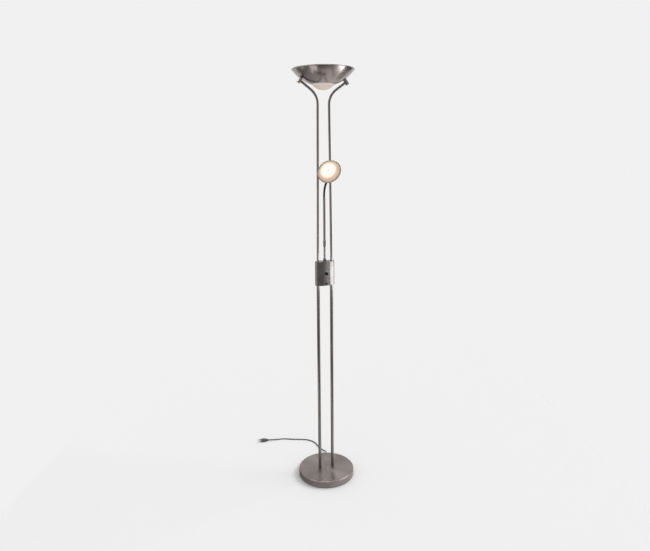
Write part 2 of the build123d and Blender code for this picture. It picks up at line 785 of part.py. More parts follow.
with BuildPart() as arm_tube:
    with BuildSketch(Plane.XY.offset(coupler_end)):
        Circle(arm_tube_diameter / 2)
        Circle(arm_tube_bore / 2, mode=Mode.SUBTRACT)
    extrude(amount=arm_tube_length)
save(arm_tube, "arm_tube")

with BuildPart() as arm_tip:
    with BuildSketch(Plane.XY.offset(tube_end)):
        Circle(tip_diameter / 2)
    extrude(amount=tip_length)
    chamfer(arm_tip.edges().filter_by(GeomType.CIRCLE), length=tip_length / 10)
    with BuildSketch(Plane.XY.offset(tube_end)):
        Circle(neck_bore / 2)
    extrude(amount=tip_length, mode=Mode.SUBTRACT)
save(arm_tip, "arm_tip")

# Flexible necks: ribbed metal hose with a bore. The lower one stands upright, the upper one leaves
# the tip straight, bends forward and runs straight again into the reading head.
bend_length = upper_neck_bend * radians(upper_neck_turn)
upper_neck_length = bend_length + 2 * neck_straight


def lower_neck_plane(distance):
    """Section plane of the lower neck at this distance from its foot."""
    return Plane(origin=(0, 0, lower_neck_start + distance), x_dir=(1, 0, 0), z_dir=(0, 0, 1))


def upper_neck_plane(distance):
    """Section plane of the upper neck at this distance along it from the tip."""
    turn = min(max(distance - neck_straight, 0), bend_length) / upper_neck_bend
    along = Vector(0, -sin(turn), cos(turn))
    bent = Vector(0, -upper_neck_bend * (1 - cos(turn)), upper_neck_bend * sin(turn))
    before = min(distance, neck_straight)
    after = max(distance - neck_straight - bend_length, 0)
    place = Vector(0, 0, upper_neck_start + before) + bent + along * after
    return Plane(origin=place, x_dir=(1, 0, 0), z_dir=along)


def ribbed_neck(node, plane_at, start, end):
    """Hose between two distances of a neck: each rib is a ruled loft through four circles."""
    crest = neck_diameter / 2
    valley = crest - neck_groove
    ribs = max(2, round((end - start) / neck_pitch))
    pitch = (end - start) / ribs
    rib_section = [(0.0, valley), (0.2, crest), (0.65, crest), (0.85, valley)]
    stations = [(start + pitch * (rib + share), radius) for rib in range(ribs) for share, radius in rib_section]
    stations.append((end, valley))
    with BuildPart() as neck:
        for distance, radius in stations:
            with BuildSketch(plane_at(distance)):
                Circle(radius)
        loft(ruled=True)
        for distance, radius in stations[::4]:
            with BuildSketch(plane_at(distance)):
                Circle(neck_bore / 2)
        loft(ruled=True, mode=Mode.SUBTRACT)
    save(neck, node)


ribbed_neck("lower_neck", lower_neck_plane, 0, lower_neck_length)
ribbed_neck("upper_neck_foot", upper_neck_plane, 0, upper_neck_length / 2)
ribbed_neck("upper_neck_top", upper_neck_plane, upper_neck_length / 2, upper_neck_length)

# Reading head: a spun dome whose lower back sits on the end of the upper neck
head_radius = head_diameter / 2
head_sphere = sphere_radius(head_radius, head_depth)
head_inner = head_sphere - head_wall
head_rise = head_sphere - head_depth
head_axis = Vector(0, -cos(radians(head_tilt)), -sin(radians(head_tilt)))
neck_end = upper_neck_plane(upper_neck_length)
head_centre = neck_end.origin + neck_end.z_dir * (ferrule_length + head_sphere)
rim_centre = head_centre - head_axis * head_rise
section_normal = Vector(1, 0, 0).cross(head_axis)
head_section = Plane(origin=rim_centre, x_dir=(1, 0, 0), z_dir=section_normal)
head_turning_axis = Axis(rim_centre, head_axis)


def head_plane(height):
    """Plane across the head, this far in front of its rim."""
    return Plane(origin=rim_centre + head_axis * height, x_dir=(1, 0, 0), z_dir=head_axis)


def dome_radius(sphere, height):
    """Radius of the dome at this height before its rim."""
    return sqrt(sphere**2 - (head_rise - height) ** 2)


def dome_arc(sphere):
    """Arc of the dome's section from its pole to its rim."""
    half = acos(head_rise / sphere) / 2
    return ThreePointArc(
        (0, head_rise - sphere),
        (sphere * sin(half), head_rise - sphere * cos(half)),
        (dome_radius(sphere, 0), 0),
    )


with BuildPart() as head_shell:
    with BuildSketch(head_section):
        with BuildLine():
            dome_arc(head_sphere)
            Line((head_radius, 0), (dome_radius(head_inner, 0), 0))
            dome_arc(head_inner)
            Line((0, head_rise - head_inner), (0, -head_depth))
        make_face()
        with Locations((head_radius - head_bead, 0)):
            Circle(head_bead)
    revolve(axis=head_turning_axis)
    with BuildSketch(neck_end):
        Circle(ferrule_stud_diameter / 2 + hole_fit)
    extrude(amount=ferrule_length + 3 * head_wall, mode=Mode.SUBTRACT)
    with BuildSketch(head_plane(-head_depth)):
        Circle(back_screw_diameter / 2 + hole_fit)
    extrude(amount=2 * head_wall, both=True, mode=Mode.SUBTRACT)
save(head_shell, "head_shell")

with BuildPart() as head_ferrule:
    with BuildSketch(neck_end):
        Circle(tip_diameter / 2)
    with BuildSketch(neck_end.offset(ferrule_length * 0.6)):
        Circle(ferrule_diameter / 2)
    with BuildSketch(neck_end.offset(ferrule_length + 2 * head_wall)):
        Circle(ferrule_diameter / 2)
    loft(ruled=True)
    with Locations(head_centre):
        Sphere(head_sphere + thread_fit, mode=Mode.SUBTRACT)
    with BuildSketch(neck_end.offset(ferrule_length / 2)):
        Circle(ferrule_stud_diameter / 2)
    extrude(amount=ferrule_length / 2 + 2 * head_wall)
    with BuildSketch(neck_end):
        Circle(neck_bore / 2)
    extrude(amount=ferrule_length + 3 * head_wall, mode=Mode.SUBTRACT)
save(head_ferrule, "head_ferrule")

# Inside the head: a flared reflector that carries the glass, and the capsule lamp behind it
glass_radius = glass_diameter / 2
seat_radius = glass_radius - glass_seat
skirt_radius = glass_radius + hole_fit
lip_back = -reflector_lip - reflector_wall
lip_radius = dome_radius(head_inner, lip_back) - hole_fit
seat_back = -glass_recess - reflector_wall
skirt_end = seat_back - reflector_skirt
with BuildPart() as head_reflector:
    with BuildSketch(head_section):
        with BuildLine():
            Polyline(
                (seat_radius, -glass_recess),
                (lip_radius - reflector_wall, -reflector_lip),
                (lip_radius, -reflector_lip),
                (lip_radius, lip_back),
                (skirt_radius + reflector_wall, -glass_recess),
                (skirt_radius + reflector_wall, skirt_end),
                (skirt_radius, skirt_end),
                (skirt_radius, seat_back),
                (seat_radius, seat_back),
                close=True,
            )
        make_face()
    revolve(axis=head_turning_axis)
save(head_reflector, "head_reflector")

with BuildPart() as head_glass:
    with BuildSketch(head_plane(seat_back)):
        Circle(glass_radius)
    extrude(amount=-glass_thickness)
save(head_glass, "head_glass")

with BuildPart() as glass_clip:
    with BuildSketch(head_plane(seat_back - glass_thickness)):
        Circle(glass_radius)
        Circle(glass_radius - clip_width, mode=Mode.SUBTRACT)
    extrude(amount=-clip_thickness)
save(glass_clip, "glass_clip")

plate_back = holder_setback - head_depth
plate_front = plate_back + holder_plate_thickness
with BuildPart() as holder_plate:
    with BuildSketch(head_plane(plate_back)):
        Circle(dome_radius(head_inner, plate_back) - hole_fit)
        Circle(back_screw_diameter / 2 + thread_fit, mode=Mode.SUBTRACT)
    extrude(amount=holder_plate_thickness)
save(holder_plate, "holder_plate")

capsule_axis = plate_front + holder_height / 2
holder_face_plane = Plane(
    origin=rim_centre + head_axis * capsule_axis + Vector(holder_start, 0, 0),
    x_dir=head_axis,
    z_dir=(1, 0, 0),
)
with BuildPart() as lamp_holder:
    with BuildSketch(holder_face_plane):
        Rectangle(holder_height, holder_width)
    extrude(amount=holder_length)
    fillet(lamp_holder.edges().filter_by(Axis.X), radius=holder_height / 6)
save(lamp_holder, "lamp_holder")

with BuildPart() as capsule_lamp:
    with BuildSketch(holder_face_plane):
        Circle(capsule_diameter / 2)
    extrude(amount=-capsule_length)
    tip_face = capsule_lamp.faces().sort_by(Axis.X)[0]
    fillet(tip_face.edges(), radius=capsule_diameter / 3)
save(capsule_lamp, "capsule_lamp")

with BuildPart() as back_screw:
    with BuildSketch(head_plane(-head_depth)):
        Circle(back_screw_head / 2)
    extrude(amount=-back_screw_head_height)
    crown = back_screw.faces().sort_by_distance(rim_centre - head_axis * 2 * head_depth)[0]
    fillet(crown.edges(), radius=back_screw_head_height / 2)
    with BuildSketch(head_plane(-head_depth)):
        Circle(back_screw_diameter / 2)
    extrude(amount=plate_front + head_depth)
save(back_screw, "back_screw")

# Mains lead: a gland in the cover's wall, the lead along the floor, and a flat two-pin plug
cord_rest = cord_diameter / 2 + moving_gap / 3
plug_rest = plug_thickness / 2 + moving_gap / 3
gland_tip = exit_centre + exit_direction * gland_length
gland_inside = cover_wall + gland_flange
with BuildPart() as cord_gland:
    with BuildSketch(exit_plane.offset(-gland_inside)):
        Circle(gland_root_diameter / 2)
    extrude(amount=gland_flange - hole_fit)
    with BuildSketch(exit_plane.offset(-gland_inside)):
        Circle(gland_neck_diameter / 2)
    extrude(amount=gland_inside + hole_fit)
    with BuildSketch(exit_plane.offset(hole_fit)):
        Circle(gland_root_diameter / 2)
    with BuildSketch(exit_plane.offset(gland_flange)):
        Circle(gland_root_diameter / 2)
    with BuildSketch(exit_plane.offset(gland_flange)):
        Circle(gland_neck_diameter / 2)
    with BuildSketch(exit_plane.offset(gland_length)):
        Circle(gland_tip_diameter / 2)
    loft(ruled=True)
save(cord_gland, "cord_gland")

straight_end = gland_tip + exit_direction * gland_length * 0.9
cord_route = [
    (gland_tip.X, gland_tip.Y, gland_tip.Z),
    (straight_end.X, straight_end.Y, straight_end.Z),
    (58.0, 177.0, 5.0),
    (51.5, 196.0, cord_rest),
    (43.5, 218.0, cord_rest),
    (42.5, 245.0, cord_rest),
    (40.0, 273.0, cord_rest),
    (30.0, 299.0, cord_rest),
    (10.0, 320.0, cord_rest),
    (-18.0, 334.5, cord_rest),
    (-49.0, 346.5, cord_rest),
    (-78.0, 361.0, cord_rest),
    (-103.0, 374.0, cord_rest),
    (-131.0, 377.5, cord_rest),
    (-158.0, 379.5, plug_rest),
    (-184.0, 386.0, plug_rest),
]
points = [Vector(*point) for point in cord_route]
cord_radii = []
for before, corner, after in zip(points, points[1:], points[2:]):
    turn = radians((corner - before).get_angle(after - corner))
    shorter = min((corner - before).length, (after - corner).length)
    cord_radii.append(arc_share * shorter / tan(turn / 2))
print("cord bend radii", [round(radius, 1) for radius in cord_radii])

with BuildPart() as mains_cord:
    with BuildLine() as cord_path:
        FilletPolyline(*points, radius=cord_radii)
    with BuildSketch(Plane(origin=cord_path.wire() @ 0, z_dir=cord_path.wire() % 0)):
        Circle(cord_diameter / 2)
    sweep(path=cord_path.wire())
save(mains_cord, "mains_cord")
cord_length = cord_path.wire().length
section_area = cord_diameter**2 * radians(180) / 4
print("cord length", round(cord_length, 1), "volume share", mains_cord.part.volume / (section_area * cord_length))

cord_end = points[-1]
last_run = points[-1] - points[-2]
plug_direction = Vector(last_run.X, last_run.Y, 0).normalized()
plug_across = Vector(0, 0, 1).cross(plug_direction)
plug_plane = Plane(origin=cord_end, x_dir=plug_across, z_dir=plug_direction)
with BuildPart() as plug_body:
    with BuildSketch(plug_plane):
        RectangleRounded(plug_nose, plug_nose, plug_nose / 3)
    with BuildSketch(plug_plane.offset(plug_length * 0.45)):
        RectangleRounded(plug_width, plug_thickness, plug_nose / 3)
    with BuildSketch(plug_plane.offset(plug_length)):
        RectangleRounded(plug_width + pin_diameter / 2, plug_thickness, plug_nose / 3)
    loft(ruled=True)
save(plug_body, "plug_body")

with BuildPart() as plug_pins:
    with BuildSketch(plug_plane.offset(plug_length)):
        with GridLocations(pin_spacing, 1, 2, 1):
            Circle(pin_diameter / 2)
    extrude(amount=pin_length)
    tips = plug_pins.faces().sort_by_distance(cord_end + plug_direction * 2 * plug_length)[0:2]
    fillet(tips.edges(), radius=pin_diameter / 3)
save(plug_pins, "plug_pins")
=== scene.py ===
# %% [markdown]
# # A twin-pole floor lamp, dressed in Blender
# The lamp's solids come in as a fixed frame. Each step below takes one group of pieces, says what it is on
# the real lamp, and gives it a finish or a finer surface. The pieces and the paper are measured in
# millimetres, as on a workshop drawing, and become metres when a mesh is filled. The camera, the panels and
# the finishes are in metres.

import bmesh
import bpy
import numpy as np
from mathutils import Matrix, Vector


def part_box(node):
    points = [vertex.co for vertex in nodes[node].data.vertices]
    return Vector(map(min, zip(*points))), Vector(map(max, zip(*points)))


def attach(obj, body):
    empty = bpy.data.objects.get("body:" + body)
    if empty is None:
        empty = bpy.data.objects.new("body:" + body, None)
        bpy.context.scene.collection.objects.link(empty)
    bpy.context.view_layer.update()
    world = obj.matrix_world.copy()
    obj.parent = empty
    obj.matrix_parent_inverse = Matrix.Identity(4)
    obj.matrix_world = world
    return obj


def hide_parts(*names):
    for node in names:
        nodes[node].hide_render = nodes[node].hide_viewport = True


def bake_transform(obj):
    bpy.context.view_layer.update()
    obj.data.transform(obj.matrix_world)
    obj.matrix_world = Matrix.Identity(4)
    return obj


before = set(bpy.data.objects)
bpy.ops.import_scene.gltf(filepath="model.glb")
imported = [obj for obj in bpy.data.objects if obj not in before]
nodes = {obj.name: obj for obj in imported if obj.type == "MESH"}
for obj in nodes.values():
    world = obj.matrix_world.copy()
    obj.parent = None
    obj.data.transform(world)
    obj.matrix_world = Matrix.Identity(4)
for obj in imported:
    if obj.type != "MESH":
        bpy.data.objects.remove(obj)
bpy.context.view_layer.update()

# %% [markdown]
# ## The camera
# The photograph was taken from a little above the middle of the lamp, about twenty degrees to the side of
# its front, looking down by twelve degrees. Solving the base's ellipse and the bowl's rim for one camera
# gives the numbers below, and the small roll makes the poles lean as they do in the picture. The three
# arrows sideways, away and upright also place everything in the studio, because that is built for this view.

# %% Camera at the photograph's place
VIEW_SIDE = np.radians(-20.0)
CAMERA_HEIGHT = 1.441
CAMERA_DISTANCE = 2.306
CAMERA_ASIDE = 0.0012
CAMERA_PITCH = np.radians(12.0)
CAMERA_ROLL = np.radians(-0.46)
SENSOR_WIDTH = 36.0
FOCAL_PIXELS = 541.0
FRAME_WIDTH = 650.0

sideways = np.array([np.cos(VIEW_SIDE), np.sin(VIEW_SIDE), 0.0])
away = np.array([-np.sin(VIEW_SIDE), np.cos(VIEW_SIDE), 0.0])
upright = np.array([0.0, 0.0, 1.0])
look = away * np.cos(CAMERA_PITCH) - upright * np.sin(CAMERA_PITCH)
head_up = away * np.sin(CAMERA_PITCH) + upright * np.cos(CAMERA_PITCH)


def put_in_scene(name, data):
    """A new object that shows this data, linked into the scene."""
    thing = bpy.data.objects.new(name, data)
    bpy.context.scene.collection.objects.link(thing)
    return thing


camera_data = bpy.data.cameras.new("photo_camera")
camera_data.sensor_width = SENSOR_WIDTH
camera_data.lens = SENSOR_WIDTH * FOCAL_PIXELS / FRAME_WIDTH
camera = put_in_scene("photo_camera", camera_data)
pose = np.eye(4)
pose[:3, 0] = np.cos(CAMERA_ROLL) * sideways + np.sin(CAMERA_ROLL) * head_up
pose[:3, 1] = np.cos(CAMERA_ROLL) * head_up - np.sin(CAMERA_ROLL) * sideways
pose[:3, 2] = -look
pose[:3, 3] = sideways * CAMERA_ASIDE - away * CAMERA_DISTANCE + upright * CAMERA_HEIGHT
camera.matrix_world = Matrix(pose.tolist())
bpy.context.scene.camera = camera
print("camera at", pose[:3, 3].round(3), "lens", round(camera_data.lens, 2))

# %% [markdown]
# ## From numbers to a mesh
# Every new piece here is a surface over two parameters: a ring of points carried along a path, or a profile
# turned about an axis. Both are one array of points in rows and columns. Blender's primitives and its Screw
# modifier could make some of them, but an array shows the formula and takes any profile. The first helper
# joins neighbours into four-sided faces, closes the seam, welds a ring that has shrunk to a point, and turns
# the faces outwards. The second puts the mesh into the scene with its finish and its body, and hides the
# solids that it stands for.

# %% Grid to mesh
MM = 0.001
WELD = 1e-7


def grid_mesh(name, grid, closed=True):
    """Mesh of a rows x columns x 3 grid of points in mm: each cell is one face, and closed joins the sides.

    The signed volume, a sixth of the sum of a . (b x c) over the faces' triangles, tells whether they
    point outwards.
    """
    rows, columns = grid.shape[:2]
    row = np.arange(rows - 1)[:, None] * columns
    column = np.arange(columns if closed else columns - 1)[None, :]
    beside = (column + 1) % columns
    quads = np.stack([row + column, row + beside, row + columns + beside, row + columns + column], -1)
    quads = quads.reshape(-1, 4)
    points = grid.reshape(-1, 3) * MM
    corner = points[quads] - points.mean(0)
    volume = (corner[:, 0] * np.cross(corner[:, 1], corner[:, 2])).sum()
    volume += (corner[:, 0] * np.cross(corner[:, 2], corner[:, 3])).sum()
    if volume < 0:
        quads = quads[:, ::-1]
    mesh = bpy.data.meshes.new(name)
    mesh.from_pydata(points.tolist(), [], quads.tolist())
    work = bmesh.new()
    work.from_mesh(mesh)
    bmesh.ops.remove_doubles(work, verts=work.verts, dist=WELD)
    work.to_mesh(mesh)
    work.free()
    mesh.polygons.foreach_set("use_smooth", np.ones(len(mesh.polygons), bool))
    print(name, "faces", len(mesh.polygons), "volume mm3", round(abs(volume) / 6 / MM ** 3, 1))
    return mesh


def add_piece(mesh, finish, body=None, stands_for=()):
    """Put a mesh into the scene with its finish, its body and the solids that it stands for."""
    piece = put_in_scene(mesh.name, mesh)
    piece.data.materials.append(finish)
    if stands_for:
        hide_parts(*stands_for)
    if body:
        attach(piece, body)
    return piece


# %% [markdown]
# ## Nodes in few words
# A finish in Blender is a tree of small nodes: one gives the place of a point, one makes noise from it, one
# turns the noise into a colour or a roughness, and the shader takes the results. Clicking or coding each
# node and link takes many steps, so one helper adds a node, sets its options and feeds its sockets at once,
# and the others say in a word what a node does. A number that is the same all over a surface goes straight
# onto the shader, where an export finds it.

# %% Node helpers
def feed(tree, node, sockets):
    """Give each socket of a node a plain value, or a link where the value is another node's output."""
    for socket, value in sockets.items():
        if isinstance(value, bpy.types.NodeSocket):
            tree.links.new(value, node.inputs[socket])
        else:
            node.inputs[socket].default_value = value


def add_node(tree, kind, output, sockets=(), **options):
    """Add a node of a kind, set its options, feed its sockets, and return the output that is named."""
    node = tree.nodes.new("ShaderNode" + kind)
    for option, choice in options.items():
        setattr(node, option, choice)
    feed(tree, node, dict(sockets))
    return node.outputs[output]


def new_finish(name, colour=(0.8, 0.8, 0.8), rough=0.5, sockets=()):
    """A material with plain values on its shader's sockets; returns it with its tree and its shader."""
    finish = bpy.data.materials.new(name)
    finish.use_nodes = True
    tree = finish.node_tree
    shader = tree.nodes["Principled BSDF"]
    feed(tree, shader, {"Base Color": (*colour, 1), "Roughness": rough, **dict(sockets)})
    return finish, tree, shader


def spread(tree, value, low, high, from_low=0.3, from_high=0.7, way="LINEAR"):
    """Stretch a value from one range to another, held at the ends; most noise lies from 0.3 to 0.7."""
    ends = {"From Min": from_low, "From Max": from_high, "To Min": low, "To Max": high}
    return add_node(tree, "MapRange", "Result", {"Value": value, **ends}, interpolation_type=way)


def combine(tree, first, second, way="ADD"):
    """Two values added, or joined another way."""
    return add_node(tree, "Math", "Value", {0: first, 1: second}, operation=way)


def ramp(tree, value, stops):
    """Colour at a value from 0 to 1, through stops that are each a position and a colour."""
    node = tree.nodes.new("ShaderNodeValToRGB")
    elements = node.color_ramp.elements
    while len(elements) < len(stops):
        elements.new(0.5)
    for element, (position, colour) in zip(elements, stops):
        element.position, element.color = position, (*colour, 1)
    feed(tree, node, {"Fac": value})
    return node.outputs["Color"]


def grey(tone):
    """Colour with the same red, green and blue."""
    return tone, tone, tone


# %% [markdown]
# ## The studio
# The lamp stands on a sheet of pale paper, as wide as a studio roll and ending a step in front of it. The
# bowl, the poles and the base mirror that sheet, and its edges and shades are the dark and light fields that
# make them look like metal. So the paper has two tones: an even one for the eye, and for mirror rays one
# that fades towards the front and the left, drops a little far out on the right, and is dim where the base
# keeps the light off. Painting the second tone costs four ramps, and the floor stays clean.

# %% Paper floor
PAPER_COLOUR = 0.80
PAPER_SIDE, PAPER_FRONT, PAPER_BACK, PAPER_DROP = 1360.0, -720.0, 5000.0, 0.3
PAPER_STEPS = 9
SHADE_ASIDE = -0.25
# Each ramp: the tone at its low end and at its high end, then where these two ends are.
FRONT_TO_BACK = 0.39, 1.0, -0.80, -0.10
LEFT_TO_RIGHT = 0.42, 0.95, -1.1, 0.5
FAR_RIGHT = 1.0, 0.85, 0.72, 0.86
OUT_OF_SHADE = 0.35, 1.0, 0.08, 0.38


def glow_in_mirrors(finish, plain, strength):
    """Send a glow of some strength to mirror rays, and the plain shader to all other rays.

    The glow is not sampled as a lamp, so it lights nothing by itself.
    """
    tree = finish.node_tree
    mirror_ray = add_node(tree, "LightPath", "Is Glossy Ray")
    glow = add_node(tree, "Emission", "Emission", {"Strength": strength})
    either = add_node(tree, "MixShader", "Shader", {"Fac": mirror_ray, 1: plain, 2: glow})
    feed(tree, tree.nodes["Material Output"], {"Surface": either})
    finish.cycles.emission_sampling = "NONE"


def paper_finish():
    """Dull paper; its tone in mirror rays is the product of four smooth ramps over the floor."""
    finish, tree, shader = new_finish("pale_paper", grey(PAPER_COLOUR), 1.0, {"Specular IOR Level": 0.0})
    place = add_node(tree, "TexCoord", "Object")

    def measure(way, vector):
        """Dot product with a vector, or distance from its tip."""
        return add_node(tree, "VectorMath", "Value", {0: place, 1: tuple(vector)}, operation=way)

    behind, right = measure("DOT_PRODUCT", away), measure("DOT_PRODUCT", sideways)
    from_shade = measure("DISTANCE", SHADE_ASIDE * sideways)
    tone = spread(tree, behind, *FRONT_TO_BACK, way="SMOOTHSTEP")
    for value, ends in ((right, LEFT_TO_RIGHT), (right, FAR_RIGHT), (from_shade, OUT_OF_SHADE)):
        tone = combine(tree, tone, spread(tree, value, *ends, way="SMOOTHSTEP"), "MULTIPLY")
    glow_in_mirrors(finish, shader.outputs["BSDF"], tone)
    return finish


across_paper = np.linspace(-PAPER_SIDE, PAPER_SIDE, PAPER_STEPS)[None, :, None]
along_paper = np.linspace(PAPER_FRONT, PAPER_BACK, PAPER_STEPS)[:, None, None]
paper_points = across_paper * sideways + along_paper * away - PAPER_DROP * upright
paper = add_piece(grid_mesh("paper_floor", paper_points, closed=False), paper_finish())

# %% [markdown]
# One soft light stands on the right and throws the faint shadow to the left of the base. A large soft box
# would do it in a real studio, and an area lamp in Blender. A sun with a wide angle gives the same soft edge
# and lights the whole sheet evenly, so no bright pool shows on the paper.

# %% Sun
SUN_STRENGTH = 1.35
SUN_ANGLE = np.radians(32)
SUN_WAY = Vector((-0.75, 0.1, -0.8))

sun_data = bpy.data.lights.new("right_sun", "SUN")
sun_data.energy = SUN_STRENGTH
sun_data.angle = SUN_ANGLE
sun = put_in_scene("right_sun", sun_data)
sun.rotation_euler = SUN_WAY.to_track_quat("-Z", "Y").to_euler()
print("sun of strength", SUN_STRENGTH, "shines along", tuple(round(part, 2) for part in SUN_WAY))

# %% [markdown]
# Metal is mostly what it mirrors. A photographer puts bright panels where the metal should be light, and
# dark flags where it should not. Here both are flat sheets that only mirror rays can see, so the floor stays
# as evenly lit as it was. The two near panels stand beside the control box: the right one draws its white
# side, the left one its pale edge. The tall left panel gives the poles a light edge, the front ones grade the
# box's front, the high ones light the base, the floor ones draw the white patch and the left field in the
# bowl, and the back ones reach the barrels under it. A flag keeps a bright panel out of a piece that should
# stay dark.

# %% Mirror panels
PANEL_STEPS = 5
# Name, one corner and two edges in metres to the right, away and up, then the strength.
PANELS = [
    ("right_near_panel", (0.40, -0.19, 0.805), (0, 0.37, 0), (0, 0, 0.155), 6.2),
    ("right_near_flag", (0.31, -0.27, 0.972), (0.10, 0, 0), (0, 0.54, 0), 0.5),
    ("left_near_panel", (-0.44, -0.40, 0.79), (0, 0.46, 0), (0, 0, 0.17), 1.5),
    ("left_panel", (-1.5, -1.5, 0.3), (0, 2.0, 0), (0, 0, 2.0), 0.85),
    ("left_high_panel", (-2.4, -2.0, 3.2), (1.5, 0, 0), (0, 3.0, 0), 3.0),
    ("overhead_panel", (-0.6, -1.7, 3.2), (1.4, 0, 0), (0, 2.0, 0), 5.0),
    ("front_panel", (0.85, -1.73, 0.38), (0.40, 0.32, 0), (0, 0, 0.36), 1.05),
    ("front_right_panel", (1.25, -1.41, 0.38), (0.28, 0.36, 0), (0, 0, 0.36), 2.5),
    ("right_floor_panel", (1.25, -0.50, 0.02), (0, 1.15, 0), (1.35, 0, 0), 4.2),
    ("right_floor_flag", (1.05, -0.60, 0.01), (0, 1.35, 0), (0, 0, 0.46), 1.0),
    ("right_back_panel", (1.05, 0.40, 0.01), (0, 2.2, 0), (1.2, 0, 0), 0.5),
    ("left_back_panel", (-1.5, 0.51, 0.95), (0, 0.8, 0), (0, 0, 0.6), 2.2),
    ("right_back_flag", (1.4, 0.2, 0.85), (0, 1.4, 0), (0, 0, 0.75), 0.05),
    ("front_high_flag", (-1.2, -2.8, 1.50), (2.9, 0, 0), (0, 0, 1.2), 0.06),
    ("left_floor_panel", (-1.20, -0.75, 0.01), (0, 0.50, 0), (0.72, 0, 0), 1.7),
]


def mirror_panel(name, corner, first_edge, second_edge, strength):
    """Flat panel = corner + u first edge + v second edge, u and v from 0 to 1, then turned to the view."""
    u = np.linspace(0, 1, PANEL_STEPS)[:, None, None]
    v = np.linspace(0, 1, PANEL_STEPS)[None, :, None]
    local = np.array(corner) + u * np.array(first_edge) + v * np.array(second_edge)
    grid = (local[..., :1] * sideways + local[..., 1:2] * away + local[..., 2:] * upright) / MM
    finish, tree, shader = new_finish(name)
    tree.nodes.remove(shader)
    glow_in_mirrors(finish, add_node(tree, "BsdfTransparent", "BSDF"), strength)
    add_piece(grid_mesh(name, grid, closed=False), finish)


for panel in PANELS:
    mirror_panel(*panel)

# %% [markdown]
# The surround is what lies beyond the paper. The camera and the glass see the paper's own tone there, so the
# sheet has no horizon. Dull surfaces get an even fill. Mirror rays get a dim room, lightest at eye level,
# with pale paper behind the lamp: that gives the poles their dark cores between light edges. One world with
# Light Path switches does all three, where a real backdrop would also have to be lit.

# %% Surround
PAPER_TONE = 0.875
FILL_TONE = 0.78
# Where a direction points, from -1 to 1, and the tone that a mirror ray finds there.
BEHIND_TONES = [(0.52, 0.0), (0.72, PAPER_TONE)]
LEVEL_TONES = [(-0.7, 0.13), (-0.3, 0.24), (-0.03, 0.50), (0.2, 0.45), (0.5, 0.18)]
# A Mix node has sockets for numbers, vectors and colours. These are the places of the colour ones.
MIX_SHARE, MIX_FIRST, MIX_SECOND, MIX_RESULT = 0, 6, 7, 2

world = bpy.data.worlds.new("studio")
bpy.context.scene.world = world
world.use_nodes = True
world.cycles.sampling_method = "NONE"
room = world.node_tree


def room_tone(value, tones_at):
    """Grey tone at a value between -1 and 1, through the given stops."""
    stops = [((place + 1) / 2, grey(tone)) for place, tone in tones_at]
    return ramp(room, spread(room, value, 0, 1, -1, 1), stops)


def choose(ray_kind, for_others, for_these):
    """Colour that rays of one kind see, and the colour that all others see."""
    share = add_node(room, "LightPath", ray_kind)
    colours = {MIX_SHARE: share, MIX_FIRST: for_others, MIX_SECOND: for_these}
    return add_node(room, "Mix", MIX_RESULT, colours, data_type="RGBA")


direction = add_node(room, "TexCoord", "Generated")
behind_lamp = add_node(room, "VectorMath", "Value", {0: direction, 1: tuple(away)}, operation="DOT_PRODUCT")
level = add_node(room, "SeparateXYZ", "Z", {"Vector": direction})
mirrored = combine(room, room_tone(behind_lamp, BEHIND_TONES), room_tone(level, LEVEL_TONES), "MAXIMUM")
fill = choose("Is Glossy Ray", (*grey(FILL_TONE), 1), mirrored)
seen = choose("Is Transmission Ray", fill, (*grey(PAPER_TONE), 1))
surround = choose("Is Camera Ray", seen, (*grey(PAPER_TONE), 1))
feed(room, room.nodes["Background"], {"Color": surround})
bpy.context.scene.view_settings.view_transform = "Standard"
print("surround set with", len(room.nodes), "nodes")

# %% [markdown]
# ## Nickel
# Most of the lamp is nickel plate, brushed on a wheel: fine lines run round each turned piece, so the noise
# is read along the radius and the height and not at all round the axis. On a drawn tube it is read along the
# height alone. Lines cut as geometry would be far too many, and a plain grey metal looks like plastic, so the
# lines change the tone, the roughness and the relief a little. Wide, weak noise changes the roughness too,
# as handling does. The stretch draws a mirrored light out across the lines.

# %% Places, noise and relief
def object_place(tree, turn=(0, 0, 0), shift=(0, 0, 0)):
    """Object coordinates through a Mapping node, which turns them and then shifts them."""
    place = add_node(tree, "TexCoord", "Object")
    return add_node(tree, "Mapping", "Vector", {"Vector": place, "Rotation": turn, "Location": shift})


def from_axis(tree, place):
    """Distance from the upright axis: the length of (x, y, 0)."""
    flat = add_node(tree, "VectorMath", "Vector", {0: place, 1: (1, 1, 0)}, operation="MULTIPLY")
    return add_node(tree, "VectorMath", "Value", {0: flat}, operation="LENGTH")


def noise(tree, place, scale, detail=3.0, rough=0.5):
    """Noise value at a place."""
    settings = {"Scale": scale, "Detail": detail, "Roughness": rough}
    return add_node(tree, "TexNoise", "Fac", {"Vector": place, **settings})


def tones(tree, value, dark, light, low=0.3, high=0.7):
    """Colour that goes from a dark tone at a low value to a light one at a high value."""
    return ramp(tree, value, [(low, dark), (high, light)])


def relief(tree, height, strength, depth):
    """Normal that a height value tilts, with the relief's depth in metres."""
    return add_node(tree, "Bump", "Normal", {"Height": height, "Strength": strength, "Distance": depth})


# %% Brushed nickel
# Noise: the lines' detail and its share, and the smudges' scale and detail.
LINE_NOISE, SMUDGE_NOISE = (4.0, 0.65), (14.0, 2.0)
NICKEL_RANGE = 0.12, 0.38
LINE_ROUGHNESS, SMUDGE_ROUGHNESS = 0.03, (-0.04, 0.05)
LINE_RELIEF, LINE_DEPTH = 0.03, 0.00006
QUARTER_TURN = 0.25
